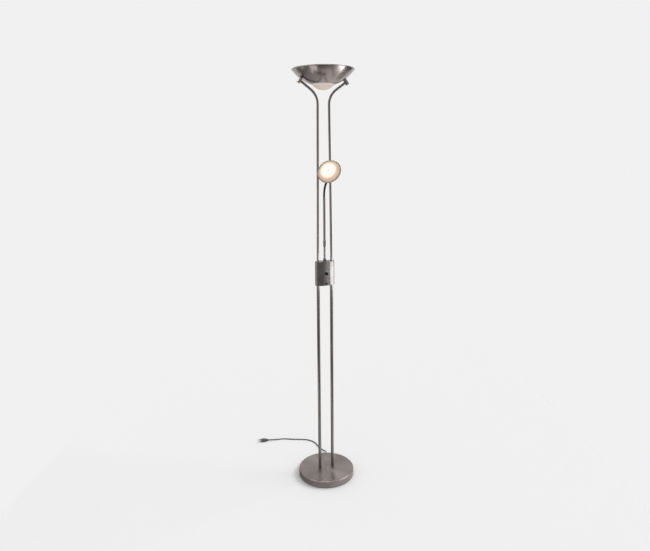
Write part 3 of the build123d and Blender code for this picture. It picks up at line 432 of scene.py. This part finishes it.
# Name, dark and light tone, roughness, scale of the lines, stretch, and whether lines run round the axis.
NICKELS = [
    ("turned_nickel", (0.275, 0.230, 0.218), (0.37, 0.322, 0.308), 0.20, 1500.0, 0.6, True),
    ("drawn_nickel", (0.27, 0.245, 0.235), (0.36, 0.335, 0.325), 0.22, 900.0, 0.0, False),
    # Painted shade: a darker copy of the drawn nickel for the lower poles, which are the same tube as the
    # upper ones.
    ("shaded_pole_nickel", (0.215, 0.196, 0.188), (0.29, 0.27, 0.262), 0.22, 900.0, 0.0, False),
    # Painted shade: a darker copy of the nickel for the control box, whose plate is the same as the rest of
    # the lamp.
    ("shaded_box_nickel", (0.155, 0.143, 0.138), (0.255, 0.238, 0.231), 0.30, 900.0, 0.6, False),
    ("base_nickel", (0.24, 0.207, 0.197), (0.335, 0.297, 0.283), 0.38, 1500.0, 0.85, True),
    ("polished_nickel", (0.34, 0.325, 0.315), (0.46, 0.44, 0.43), 0.12, 500.0, 0.0, True),
    ("zinc_steel", (0.40, 0.41, 0.42), (0.58, 0.58, 0.57), 0.38, 300.0, 0.0, False),
    ("hose_metal", (0.035, 0.03, 0.028), (0.09, 0.08, 0.072), 0.36, 700.0, 0.0, False),
    ("lower_hose_metal", (0.27, 0.25, 0.235), (0.38, 0.355, 0.34), 0.34, 700.0, 0.0, False),
    ("plated_pins", (0.36, 0.35, 0.33), (0.48, 0.47, 0.44), 0.22, 800.0, 0.0, False),
]


def brushed_nickel(name, dark, light, rough, grain, stretch, round_axis):
    """Brushed plate: lines are noise over (radius, height), or over height alone on a drawn tube.

    Tone = lines times smudge between dark and light; roughness = its mean + lines + smudge.
    """
    finish, tree, shader = new_finish(name, light, rough, {
        "Metallic": 1.0, "Anisotropic": stretch, "Anisotropic Rotation": QUARTER_TURN})
    place = object_place(tree)
    line_place = {"Z": add_node(tree, "SeparateXYZ", "Z", {"Vector": place})}
    if round_axis:
        line_place["X"] = from_axis(tree, place)
    lines = noise(tree, add_node(tree, "CombineXYZ", "Vector", line_place), grain, *LINE_NOISE)
    smudge = noise(tree, place, *SMUDGE_NOISE)
    brushed = spread(tree, lines, rough - LINE_ROUGHNESS, rough + LINE_ROUGHNESS)
    handled = spread(tree, smudge, *SMUDGE_ROUGHNESS)
    feed(tree, shader, {
        "Base Color": tones(tree, combine(tree, lines, smudge, "MULTIPLY"), dark, light, *NICKEL_RANGE),
        "Roughness": combine(tree, brushed, handled),
        "Normal": relief(tree, lines, LINE_RELIEF, LINE_DEPTH)})
    return finish


finishes = {row[0]: brushed_nickel(*row) for row in NICKELS}
print("metal finishes:", ", ".join(finishes))

# %% [markdown]
# ## Moulded and cast pieces
# The knob and the button are black plastic with a fine matt grain, the lead is dull rubber, the pad under the
# base is felt, the weight is cast iron and the lamp holders are glazed ceramic. All of them are even
# materials with a random skin, so one recipe serves: a fine noise for tone, roughness and relief, and a wide
# one that shades the tone a little. What differs stands in the table.

# %% Plastic, rubber, felt, iron, ceramic and board
GRAIN_NOISE, GRAIN_RANGE = (4.0, 0.6), (0.12, 0.4)
WIDE_SHARE, WIDE_DETAIL = 18.0, 2.0
GRAIN_ROUGHNESS, GRAIN_RELIEF = 0.08, 0.35
# Name, dark and light tone, roughness, scale of the grain, its depth in metres, metal, gloss.
SKINS = [
    ("black_plastic", (0.005, 0.005, 0.005), (0.012, 0.012, 0.013), 0.42, 2600.0, 0.00004, 0.0, 0.2),
    ("lead_rubber", (0.05, 0.05, 0.05), (0.085, 0.085, 0.087), 0.55, 1500.0, 0.00005, 0.0, 0.5),
    ("felt", (0.03, 0.03, 0.032), (0.085, 0.085, 0.09), 0.95, 900.0, 0.0005, 0.0, 0.5),
    ("cast_iron", (0.06, 0.06, 0.062), (0.14, 0.135, 0.13), 0.7, 500.0, 0.0004, 0.6, 0.5),
    ("ceramic", (0.78, 0.76, 0.71), (0.86, 0.85, 0.81), 0.28, 700.0, 0.00003, 0.0, 0.5),
    ("mark_paint", (0.09, 0.09, 0.088), (0.13, 0.13, 0.126), 0.5, 1400.0, 0.00003, 0.0, 0.5),
    ("circuit_board", (0.05, 0.14, 0.07), (0.12, 0.26, 0.14), 0.5, 420.0, 0.00005, 0.0, 0.5),
]


def grained(name, dark, light, rough, scale, depth, metal, gloss):
    """A moulded or cast skin: tone = fine times wide noise, roughness and relief follow the fine noise."""
    finish, tree, shader = new_finish(name, light, rough, {"Metallic": metal, "Specular IOR Level": gloss})
    place = object_place(tree)
    fine = noise(tree, place, scale, *GRAIN_NOISE)
    wide = noise(tree, place, scale / WIDE_SHARE, WIDE_DETAIL)
    feed(tree, shader, {
        "Base Color": tones(tree, combine(tree, fine, wide, "MULTIPLY"), dark, light, *GRAIN_RANGE),
        "Roughness": spread(tree, fine, rough - GRAIN_ROUGHNESS, rough + GRAIN_ROUGHNESS),
        "Normal": relief(tree, fine, GRAIN_RELIEF, depth)})
    return finish


finishes.update({row[0]: grained(*row) for row in SKINS})
print("finishes so far:", len(finishes))

# %% [markdown]
# ## Glass and light
# The dish under the bowl is etched glass, lit from behind; its colour is painted warmer in its middle,
# nearest the lamp, as painted lamplight. The two lamps are clear glass with a weak glow. A lamp inside could
# light the glass, but a thin shell lit from behind is noisy to render, and the light is lost when the piece
# is used elsewhere. A little emission on the glass itself stands for that light, so the pieces glow the same
# in any scene.

# %% Etched and clear glass
GLASS_IOR = 1.5
ETCH_SCALE, ETCH_ROUGHNESS, ETCH_RELIEF, ETCH_DEPTH = 900.0, 0.06, 0.2, 0.00008
CLOUD_SCALE, CLOUD_DETAIL, CLOUD_DIM = 30.0, 2.0, 0.94
DISH_REACH, DISH_RANGE = 0.05, (0.2, 0.9)


def etched_glass(name, tint, rough, through, glow, glow_tint, unlit_edge_tint=None):
    """Glass with a fine etched surface: rough transmission, a fine relief and a clouded glow.

    A second tint is the colour at the dish's reach from the upright axis, away from the lamp behind it; the
    first tint, warmer in the middle, is painted lamplight.
    """
    finish, tree, shader = new_finish(name, tint, rough, {
        "Transmission Weight": through, "IOR": GLASS_IOR, "Emission Strength": glow})
    place = object_place(tree)
    etch = noise(tree, place, ETCH_SCALE)
    cloud = noise(tree, place, CLOUD_SCALE, CLOUD_DETAIL)
    feed(tree, shader, {
        "Roughness": spread(tree, etch, rough - ETCH_ROUGHNESS, rough + ETCH_ROUGHNESS),
        "Emission Color": tones(tree, cloud, tuple(CLOUD_DIM * part for part in glow_tint), glow_tint),
        "Normal": relief(tree, etch, ETCH_RELIEF, ETCH_DEPTH)})
    if unlit_edge_tint:
        # Painted lamplight: the base colour is warmer near the upright axis, under the lamp, and greyer
        # towards the dish's reach.
        painted_glow_fade = spread(tree, from_axis(tree, place), 0, 1, 0.0, DISH_REACH)
        feed(tree, shader, {"Base Color": tones(tree, painted_glow_fade, tint, unlit_edge_tint, *DISH_RANGE)})
    return finish


finishes["dish_glass"] = etched_glass(
    "dish_glass", (0.68, 0.53, 0.43), 0.5, 0.15, 0.13, (1.0, 0.82, 0.68), (0.66, 0.60, 0.57))
finishes["lamp_glass"] = etched_glass("lamp_glass", (0.97, 0.97, 0.95), 0.06, 0.95, 0.15, (1.0, 0.9, 0.72))
print("glass finishes: dish_glass, lamp_glass")

# %% [markdown]
# The reading head is lit: a bright etched disc, warm towards its edge, with a dim spot in the middle where
# the end of the lamp shades it. The flared wall round the disc is a warm matt metal, and the glow that it
# catches is painted into its colour: painted light near the disc, and painted shade browner towards the rim.
# Both are rings of colour round the head's axis, which tilts, so a Mapping node turns the coordinates
# upright and the distance from the axis picks the colour.

# %% Lit disc and flared wall
HEAD_TILT = np.radians(65.0)
DISC_REACH, WALL_REACH = (0.0, 0.036), (0.034, 0.0505)
DISC_COLOUR, DISC_ROUGHNESS, DISC_GLOW = (0.30, 0.28, 0.25), (0.38, 0.52), 0.78
DISC_RINGS = [
    (0.0, (0.64, 0.72, 0.56)), (0.07, (0.72, 0.78, 0.64)), (0.20, (1.0, 1.0, 0.95)),
    (0.72, (1.0, 0.97, 0.86)), (1.0, (0.97, 0.80, 0.60))]
WALL_COLOUR, WALL_ROUGHNESS, WALL_GLOSS = (0.8, 0.6, 0.45), (0.42, 0.58), 0.15
# Painted glow and painted shade: the wall's colour is light near the disc and browner towards the rim.
WALL_GLOW_SHADE_RINGS = [
    (0.0, (0.98, 0.80, 0.62)), (0.45, (0.90, 0.66, 0.48)), (0.85, (0.52, 0.38, 0.30)),
    (1.0, (0.40, 0.31, 0.27))]
WALL_SCALE, WALL_RELIEF, WALL_DEPTH = 1100.0, 0.25, 0.00005

disc_middle = np.mean(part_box("head_glass"), axis=0)
axis_turn = (HEAD_TILT, 0, 0)
axis_shift = (0, np.sin(HEAD_TILT) * disc_middle[2] - np.cos(HEAD_TILT) * disc_middle[1],
              -np.sin(HEAD_TILT) * disc_middle[1] - np.cos(HEAD_TILT) * disc_middle[2])


def head_rings(tree, reach, stops):
    """Colour by the distance from the head's axis, over a reach from low to high."""
    place = object_place(tree, axis_turn, axis_shift)
    return ramp(tree, spread(tree, from_axis(tree, place), 0, 1, *reach), stops)


def lit_disc(name):
    """Etched disc with the lamp behind it: the glow's colour is a set of rings."""
    finish, tree, shader = new_finish(name, DISC_COLOUR, sockets={"Emission Strength": DISC_GLOW})
    etch = noise(tree, object_place(tree), ETCH_SCALE)
    feed(tree, shader, {
        "Roughness": spread(tree, etch, *DISC_ROUGHNESS),
        "Emission Color": head_rings(tree, DISC_REACH, DISC_RINGS),
        "Normal": relief(tree, etch, ETCH_RELIEF, ETCH_DEPTH)})
    return finish


def flared_wall(name):
    """Warm matt inner wall of the head: its colour is a set of rings, painted glow near the disc and painted
    shade browner towards the rim.
    """
    finish, tree, shader = new_finish(name, WALL_COLOUR, sockets={"Specular IOR Level": WALL_GLOSS})
    fine = noise(tree, object_place(tree), WALL_SCALE)
    feed(tree, shader, {
        "Base Color": head_rings(tree, WALL_REACH, WALL_GLOW_SHADE_RINGS),
        "Roughness": spread(tree, fine, *WALL_ROUGHNESS),
        "Normal": relief(tree, fine, WALL_RELIEF, WALL_DEPTH)})
    return finish


finishes["head_disc_glass"] = lit_disc("head_disc_glass")
# The reflector's finish carries painted glow and painted shade in its colour.
finishes["glow_shade_reflector"] = flared_wall("glow_shade_reflector")
print("head's disc in the middle of", disc_middle.round(4))

# %% [markdown]
# ## Finishes onto the solids
# Most solids already have the right shape, so they stay and only get a finish. A solid's mesh is never
# changed: its material slots are emptied, the new finish goes into the first, and every face points to it.

# %% Finishes onto the solids that keep their shape
FINISH_OF = {
    "base_nickel": ["base_cover"],
    "turned_nickel": ["bowl", "head_shell", "head_ferrule", "arm_nipple"],
    "shaded_pole_nickel": ["lower_pole_left", "lower_pole_right"],
    "drawn_nickel": ["upper_pole_left", "upper_pole_right", "arm_coupler", "arm_tube", "arm_tip"],
    "shaded_box_nickel": ["box_shell", "box_top_cap", "box_bottom_cap", "switch_collar", "dimmer_collar"],
    "polished_nickel": ["barrel_left", "barrel_right"],
    "zinc_steel": ["base_washers", "base_nuts", "pole_nuts", "fork_nuts", "nipple_nut", "box_chassis",
                   "board_spacers", "dish_ring", "lamp_bridge", "barrel_screws", "glass_clip", "holder_plate",
                   "dimmer_shaft"],
    "glow_shade_reflector": ["head_reflector"],
    "cast_iron": ["base_weight"],
    "felt": ["base_pad"],
    "black_plastic": ["dimmer_knob", "switch_button", "switch_body", "dimmer_body"],
    "circuit_board": ["dimmer_board"],
    "ceramic": ["tube_holders", "lamp_holder", "terminal_block"],
    "dish_glass": ["glass_dish"],
    "head_disc_glass": ["head_glass"],
    "lamp_glass": ["tube_lamp", "capsule_lamp"],
    "plated_pins": ["plug_pins"],
}
for finish_name, names in FINISH_OF.items():
    for name in names:
        solid = nodes[name].data
        solid.materials.clear()
        solid.materials.append(finishes[finish_name])
        solid.polygons.foreach_set("material_index", np.zeros(len(solid.polygons), int))
print("finished solids:", sum(len(names) for names in FINISH_OF.values()))

# %% [markdown]
# ## The flexible necks
# A flexible neck is a steel strip wound into a hose: its ridges climb round it as a screw thread does. An
# array of rings would only look like a stack of washers. A ring carried along the neck's line gives the
# thread, with a radius that rises and falls with the distance along the line less a share of the turn. The
# lower neck is straight, the upper one leaves its tip straight, bends forward by 52 degrees and runs
# straight into the head. The upper one is made in two halves.

# %% Rings along a path
def rings(path, across, up, radius, sides):
    """Grid of rings: point = path + radius (cos t across + sin t up), one row per path point."""
    turn = np.linspace(0, 2 * np.pi, sides, endpoint=False)[None, :, None]
    across, up = (np.broadcast_to(way, path.shape)[:, None, :] for way in (across, up))
    radius = np.broadcast_to(np.asarray(radius, float).reshape(len(path), -1), (len(path), sides))
    return path[:, None, :] + radius[:, :, None] * (np.cos(turn) * across + np.sin(turn) * up)


def capped(path, across, up, radius, sides):
    """The same rings with a ring of no radius at each end, which closes the tube with a flat end."""
    start, end = (np.repeat(path[i][None, None], sides, 1) for i in (0, -1))
    return np.concatenate([start, rings(path, across, up, radius, sides), end])


# %% Wound hose
NECK_RADIUS, NECK_GROOVE = 4.6, 0.6
WIND_PITCH, WIND_STEPS, RIDGE_FLATNESS = 2.1, 12, 0.85
HOSE_SIDES = 36
RIGHT = np.array([1.0, 0, 0])


def wound_hose(name, line, start, end):
    """Ring carried along a line; radius = crest - groove (1 - ridge), ridge a flat-topped wave that winds."""
    distance = np.linspace(start, end, int((end - start) / WIND_PITCH * WIND_STEPS))
    point, direction = line(distance)
    share_of_turn = np.linspace(0, 1, HOSE_SIDES, endpoint=False)
    phase = distance[:, None] / WIND_PITCH - share_of_turn[None]
    ridge = np.clip(0.5 + RIDGE_FLATNESS * np.cos(2 * np.pi * phase), 0, 1)
    radius = NECK_RADIUS - NECK_GROOVE * (1 - ridge)
    return grid_mesh(name, capped(point, RIGHT, np.cross(direction, RIGHT), radius, HOSE_SIDES))


# %% Lower neck
LOWER_START, LOWER_END = (corner[2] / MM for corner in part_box("lower_neck"))


def lower_line(distance):
    """Point and direction of the lower neck: straight up."""
    point = np.stack([0 * distance, 0 * distance, LOWER_START + distance], -1)
    return point, np.broadcast_to(upright, point.shape)


lower_hose = add_piece(wound_hose("lower_hose", lower_line, 0, LOWER_END - LOWER_START),
                       finishes["lower_hose_metal"], stands_for=["lower_neck"])
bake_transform(lower_hose)

# %% Upper neck
UPPER_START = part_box("upper_neck_foot")[0][2] / MM
UPPER_BEND, UPPER_TURN, UPPER_LEAD = 67.0, np.radians(52.0), 8.4
UPPER_ARC = UPPER_BEND * UPPER_TURN
UPPER_LENGTH = UPPER_ARC + 2 * UPPER_LEAD


def upper_line(distance):
    """Point and direction of the upper neck: straight, then an arc of a circle, then straight."""
    turn = np.clip(distance - UPPER_LEAD, 0, UPPER_ARC) / UPPER_BEND
    before = np.minimum(distance, UPPER_LEAD)
    after = np.maximum(distance - UPPER_LEAD - UPPER_ARC, 0)
    direction = np.stack([0 * turn, -np.sin(turn), np.cos(turn)], -1)
    arc = UPPER_BEND * np.stack([0 * turn, np.cos(turn) - 1, np.sin(turn)], -1)
    start = np.stack([0 * turn, 0 * turn, UPPER_START + before], -1)
    return start + arc + direction * after[:, None], direction


halves = np.array([0.0, UPPER_LENGTH / 2, UPPER_LENGTH])
foot_hose = add_piece(wound_hose("upper_hose_foot", upper_line, 0, halves[1]), finishes["hose_metal"],
                      stands_for=["upper_neck_foot"])
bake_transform(foot_hose)
top_hose = add_piece(wound_hose("upper_hose_top", upper_line, halves[1], halves[2]), finishes["hose_metal"],
                     stands_for=["upper_neck_top"])
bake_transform(top_hose)

# %% [markdown]
# ## The strain relief
# Where the lead leaves the base, a rubber sleeve keeps it from kinking. It has a collar that grips the wall
# and a tapered tail with ribs, so that it bends easily. It is a turned profile: a list of distances along
# its axis with a radius for each, and a wave on a slope for the ribs.

# %% Strain relief
LEAD_ANGLE = np.radians(70)
LEAD_WAY = np.array([np.cos(LEAD_ANGLE), np.sin(LEAD_ANGLE), 0])
BASE_EDGE, LEAD_HEIGHT, RELIEF_LENGTH = 127.5, 12.0, 20.0
RELIEF_FOOT = LEAD_WAY * BASE_EDGE + upright * LEAD_HEIGHT
GLAND_TIP = RELIEF_FOOT + LEAD_WAY * RELIEF_LENGTH
COLLAR_DISTANCE = [-3.2, -1.4, -1.4, 0.2, 0.2, 1.6, 1.9, 2.0]
COLLAR_RADIUS = [5.5, 5.5, 4.5, 4.5, 5.5, 5.5, 5.3, 4.8]
RIB_START, RIB_PITCH, RIB_DEPTH, RIB_FLATNESS, RIB_STEPS = 2.4, 2.9, 0.75, 0.9, 150
RIB_FOOT_RADIUS, RIB_TIP_RADIUS = 4.6, 3.5
TURNED_SIDES = 40


def turned(name, start, axis, distance, radius):
    """Profile turned about an axis: a ring of each radius at each distance along the axis from the start."""
    across = np.cross(axis, upright)
    across = across / np.linalg.norm(across)
    path = np.asarray(start) + np.asarray(distance, float)[:, None] * axis
    return grid_mesh(name, capped(path, across, np.cross(across, axis), radius, TURNED_SIDES))


ribbed = np.linspace(RIB_START, RELIEF_LENGTH, RIB_STEPS)
rib_wave = np.clip(0.5 - RIB_FLATNESS * np.cos(2 * np.pi * (ribbed - RIB_START) / RIB_PITCH), 0, 1)
rib_crest = np.interp(ribbed, [RIB_START, RELIEF_LENGTH], [RIB_FOOT_RADIUS, RIB_TIP_RADIUS])
relief_distance = np.r_[COLLAR_DISTANCE, ribbed]
relief_radius = np.r_[COLLAR_RADIUS, rib_crest - RIB_DEPTH * (1 - rib_wave)]
strain_relief = add_piece(turned("strain_relief", RELIEF_FOOT, LEAD_WAY, relief_distance, relief_radius),
                          finishes["lead_rubber"], "stand", ["cord_gland"])

# %% [markdown]
# ## The plug
# The plug is moulded round the end of the lead. Its outline is an oval that swells from the lead to the pins
# and is boxier than an ellipse, with a few grip grooves across it. A subdivided box would need many cuts for
# the grooves, while here they are one wave in the oval's half width. The pins have a dark sleeve on the half
# next to the body.

# %% Plug
PLUG_REST = 5.6
PLUG_FOOT = np.array([-184.0, 386.0, PLUG_REST])
PLUG_BEFORE = np.array([-158.0, 379.5, PLUG_REST])
PLUG_WAY = (PLUG_FOOT - PLUG_BEFORE) / np.linalg.norm(PLUG_FOOT - PLUG_BEFORE)
PLUG_ACROSS = np.cross(upright, PLUG_WAY)
PLUG_LENGTH, PLUG_STEPS, PLUG_SIDES = 33, 100, 64
PLUG_ROOT, PLUG_WIDER, PLUG_THICKER, PLUG_SWELL, PLUG_BOXINESS = 4.0, 8.2, 1.45, 16, 3.2
END_START, END_ROUND, END_DEPTH = 31.6, 1.7, 1.2
GRIP_DEPTH, GRIP_PITCH, GRIP_FIRST, GRIP_MIDDLE, GRIP_REACH, GRIP_ON_FLAT = 0.5, 2.6, 5, 10, 5.3, 0.6


def oval(half_width, half_height, power, sides):
    """Radius round an oval: (|cos t / width|^p + |sin t / height|^p)^(-1/p); a power of 2 is an ellipse."""
    turn = np.linspace(0, 2 * np.pi, sides, endpoint=False)
    wide = np.abs(np.cos(turn)) / half_width[:, None]
    high = np.abs(np.sin(turn)) / half_height[:, None]
    return (wide ** power + high ** power) ** (-1 / power)


along_plug = np.linspace(0, PLUG_LENGTH, PLUG_STEPS)
swelling = np.clip(along_plug / PLUG_SWELL, 0, 1)
swell = swelling ** 2 * (3 - 2 * swelling)
end_fall = END_DEPTH * (1 - np.sqrt(1 - np.clip((along_plug - END_START) / END_ROUND, 0, 1) ** 2))
grip = GRIP_DEPTH * np.clip(np.cos(2 * np.pi * (along_plug - GRIP_FIRST) / GRIP_PITCH), 0, 1)
grip = grip * (np.abs(along_plug - GRIP_MIDDLE) < GRIP_REACH)
plug_width = PLUG_ROOT + PLUG_WIDER * swell - grip - end_fall
plug_height = PLUG_ROOT + PLUG_THICKER * swell - GRIP_ON_FLAT * grip - end_fall
plug_path = PLUG_FOOT + along_plug[:, None] * PLUG_WAY
plug_outline = oval(plug_width, plug_height, PLUG_BOXINESS, PLUG_SIDES)
plug_shell = add_piece(
    grid_mesh("plug_shell", capped(plug_path, PLUG_ACROSS, upright, plug_outline, PLUG_SIDES)),
    finishes["lead_rubber"], "stand", ["plug_body"])

# %% Pin sleeves
SLEEVE_START, PIN_ASIDE = 32, 9.3
SLEEVE_DISTANCE, SLEEVE_RADIUS = [0, 9.6, 9.9, 10], [2.12, 2.12, 2.06, 1.9]
for side, shift in (("left", PIN_ASIDE), ("right", -PIN_ASIDE)):
    sleeve_foot = PLUG_FOOT + SLEEVE_START * PLUG_WAY + shift * PLUG_ACROSS
    sleeve = turned("pin_sleeve_" + side, sleeve_foot, PLUG_WAY, SLEEVE_DISTANCE, SLEEVE_RADIUS)
    add_piece(sleeve, finishes["black_plastic"], "stand")

# %% [markdown]
# ## The mains lead
# The lead leaves its sleeve low on the back of the base, drops to the floor and runs off behind the lamp to
# its plug. A real lead has no corners, so it is one smooth NURBS curve with a round bevel. Its control points
# are the points of the route that the solid follows, and the curve passes close to them.

# %% Lead
LEAD_RUN, LEAD_REST, LEAD_RADIUS = 18, 2.6, 2.5
lead_route = np.array([
    GLAND_TIP, GLAND_TIP + LEAD_WAY * LEAD_RUN, (58, 177, 5), (51.5, 196, LEAD_REST), (43.5, 218, LEAD_REST),
    (42.5, 245, LEAD_REST), (40, 273, LEAD_REST), (30, 299, LEAD_REST), (10, 320, LEAD_REST),
    (-18, 334.5, LEAD_REST), (-49, 346.5, LEAD_REST), (-78, 361, LEAD_REST), (-103, 374, LEAD_REST),
    (-131, 377.5, LEAD_REST), PLUG_BEFORE, PLUG_FOOT])
lead_curve = bpy.data.curves.new("mains_lead", "CURVE")
lead_curve.dimensions = "3D"
lead_curve.bevel_depth = LEAD_RADIUS * MM
lead_curve.bevel_resolution = 5
lead_curve.use_fill_caps = True
lead_curve.resolution_u = 12
spline = lead_curve.splines.new("NURBS")
spline.points.add(len(lead_route) - 1)
spline.points.foreach_set("co", np.c_[lead_route * MM, np.ones(len(lead_route))].ravel())
spline.order_u = 3
spline.use_endpoint_u = True
mains_lead = put_in_scene("mains_lead", lead_curve)
lead_curve.materials.append(finishes["lead_rubber"])
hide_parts("mains_cord")
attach(mains_lead, "stand")
print("lead laid over", len(lead_route), "points")

# %% [markdown]
# ## The coiled wire
# The tube lamp in the bowl has a coiled wire along its middle, which is what glows. A Screw modifier could
# wind it, but the ends run straight to the caps, so a thin tube is carried along a screw line whose radius
# falls to nothing at both ends.

# %% Coiled wire
COIL_HALF, COIL_TURNS, COIL_RADIUS, COIL_TAIL = 42.0, 44, 0.85, 0.12
WIRE_RADIUS, WIRE_STEPS, WIRE_SIDES = 0.22, 20, 6
WIRE_COLOUR, WIRE_ORANGE, WIRE_YELLOW = (0.6, 0.5, 0.4), (1.0, 0.62, 0.3), (1.0, 0.8, 0.5)
WIRE_ROUGHNESS, WIRE_GLOW, WIRE_SCALE = 0.4, 2.0, 1800.0

glow_wire, wire_tree, wire_shader = new_finish("glow_wire", WIRE_COLOUR, WIRE_ROUGHNESS, {
    "Metallic": 1.0, "Emission Strength": WIRE_GLOW})
wire_noise = noise(wire_tree, object_place(wire_tree), WIRE_SCALE)
feed(wire_tree, wire_shader, {"Emission Color": tones(wire_tree, wire_noise, WIRE_ORANGE, WIRE_YELLOW)})

tube_middle = np.mean(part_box("tube_lamp"), axis=0) / MM
share = np.linspace(-1 - COIL_TAIL, 1 + COIL_TAIL, COIL_TURNS * WIRE_STEPS)
wind = np.pi * COIL_TURNS * np.clip(share, -1, 1)
wire_reach = COIL_RADIUS * np.clip((1 + COIL_TAIL - np.abs(share)) / COIL_TAIL, 0, 1)
outward = np.stack([0 * share, np.cos(wind), np.sin(wind)], -1)
wire_path = tube_middle + wire_reach[:, None] * outward + COIL_HALF * share[:, None] * RIGHT
wire_side = np.cross(np.gradient(wire_path, axis=0), outward)
wire_side = wire_side / np.linalg.norm(wire_side, axis=1, keepdims=True)
wire_radius = np.full(len(share), WIRE_RADIUS)
add_piece(grid_mesh("lamp_wire", capped(wire_path, outward, wire_side, wire_radius, WIRE_SIDES)),
          glow_wire, "stand")

# %% [markdown]
# ## The knob's mark
# The knob needs a mark to show how far it is turned. Painting it into the finish would lose it at a distance,
# so it is a slim raised bar with rounded ends, half sunk in the knob's face. It points down to the left when
# the lamp is off.

# %% Knob pointer
POINTER_START, POINTER_LENGTH, POINTER_STEPS, POINTER_SIDES = 1.6, 3.2, 24, 20
POINTER_HALF_WIDTH, POINTER_HALF_HEIGHT, POINTER_BOXINESS = 0.5, 0.2, 2.4
POINTER_END_POWER, POINTER_END_LEAST = 6, 0.02
FRONT = np.array([0, -1.0, 0])

knob_low, knob_high = (np.array(corner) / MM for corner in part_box("dimmer_knob"))
knob_middle = (knob_low + knob_high) / 2
knob_face = np.array([knob_middle[0], knob_low[1], knob_middle[2]])
pointer_way = np.array([-1.0, 0, -1.0]) / np.sqrt(2)
along_pointer = np.linspace(0, 1, POINTER_STEPS)
round_end = np.sqrt(1 - np.abs(2 * along_pointer - 1) ** POINTER_END_POWER) + POINTER_END_LEAST
pointer_path = knob_face + (POINTER_START + POINTER_LENGTH * along_pointer)[:, None] * pointer_way
pointer_outline = oval(POINTER_HALF_WIDTH * round_end, POINTER_HALF_HEIGHT * round_end, POINTER_BOXINESS,
                       POINTER_SIDES)
pointer_across = np.cross(pointer_way, -FRONT)
pointer_grid = capped(pointer_path, pointer_across, FRONT, pointer_outline, POINTER_SIDES)
add_piece(grid_mesh("knob_pointer", pointer_grid), finishes["mark_paint"], "dimmer")

# %% [markdown]
# ## The back screw
# The screw at the back of the reading head holds the lamp holder. Its head has a cross recess for a
# screwdriver. A boolean cut would leave ragged faces, so the top is a disc of rings, and each point sinks
# where it lies within one of two crossed bars.

# %% Back screw
SCREW_HEAD, SCREW_SHANK, SCREW_HEAD_HEIGHT, CROWN = 4.0, 2.0, 2.5, 1.25
CENTRE_RADIUS, TOP_STEPS, SCREW_SIDES = 0.001, 40, 120
CROSS_DEPTH, CROSS_HALF, CROSS_WALL, CROSS_REACH, CROSS_END = 1.2, 0.75, 0.3, 2.5, 0.5
HEAD_AXIS = np.array([0, -np.sin(HEAD_TILT), -np.cos(HEAD_TILT)])

screw_points = np.empty(3 * len(nodes["back_screw"].data.vertices))
nodes["back_screw"].data.vertices.foreach_get("co", screw_points)
screw_reach = (screw_points.reshape(-1, 3) - disc_middle) @ HEAD_AXIS / MM
screw_back, screw_front = screw_reach.min(), screw_reach.max()
top_radius = np.linspace(CENTRE_RADIUS, SCREW_HEAD, TOP_STEPS)
crown_fall = CROWN - np.sqrt(CROWN ** 2 - np.clip(top_radius - (SCREW_HEAD - CROWN), 0, CROWN) ** 2)
screw_radius = np.r_[top_radius, SCREW_HEAD, SCREW_SHANK, SCREW_SHANK]
screw_distance = np.r_[crown_fall, SCREW_HEAD_HEIGHT, SCREW_HEAD_HEIGHT, screw_front - screw_back]
screw_path = disc_middle / MM + (screw_back + screw_distance)[:, None] * HEAD_AXIS
screw_up = np.cross(HEAD_AXIS, RIGHT)
screw_grid = rings(screw_path, RIGHT, screw_up, screw_radius, SCREW_SIDES)
beside, above = (np.abs((screw_grid - screw_path[:, None]) @ way) for way in (RIGHT, screw_up))
bars = [np.clip((CROSS_HALF - a) / CROSS_WALL, 0, 1) * np.clip((CROSS_REACH - b) / CROSS_END, 0, 1)
        for a, b in ((beside, above), (above, beside))]
on_top = (np.arange(len(screw_radius)) < TOP_STEPS)[:, None]
screw_grid = screw_grid + (CROSS_DEPTH * np.maximum(*bars) * on_top)[:, :, None] * HEAD_AXIS
screw_end = np.repeat(screw_path[-1][None, None], SCREW_SIDES, 1)
add_piece(grid_mesh("cross_screw", np.concatenate([screw_grid, screw_end])), finishes["zinc_steel"], "head",
          ["back_screw"])
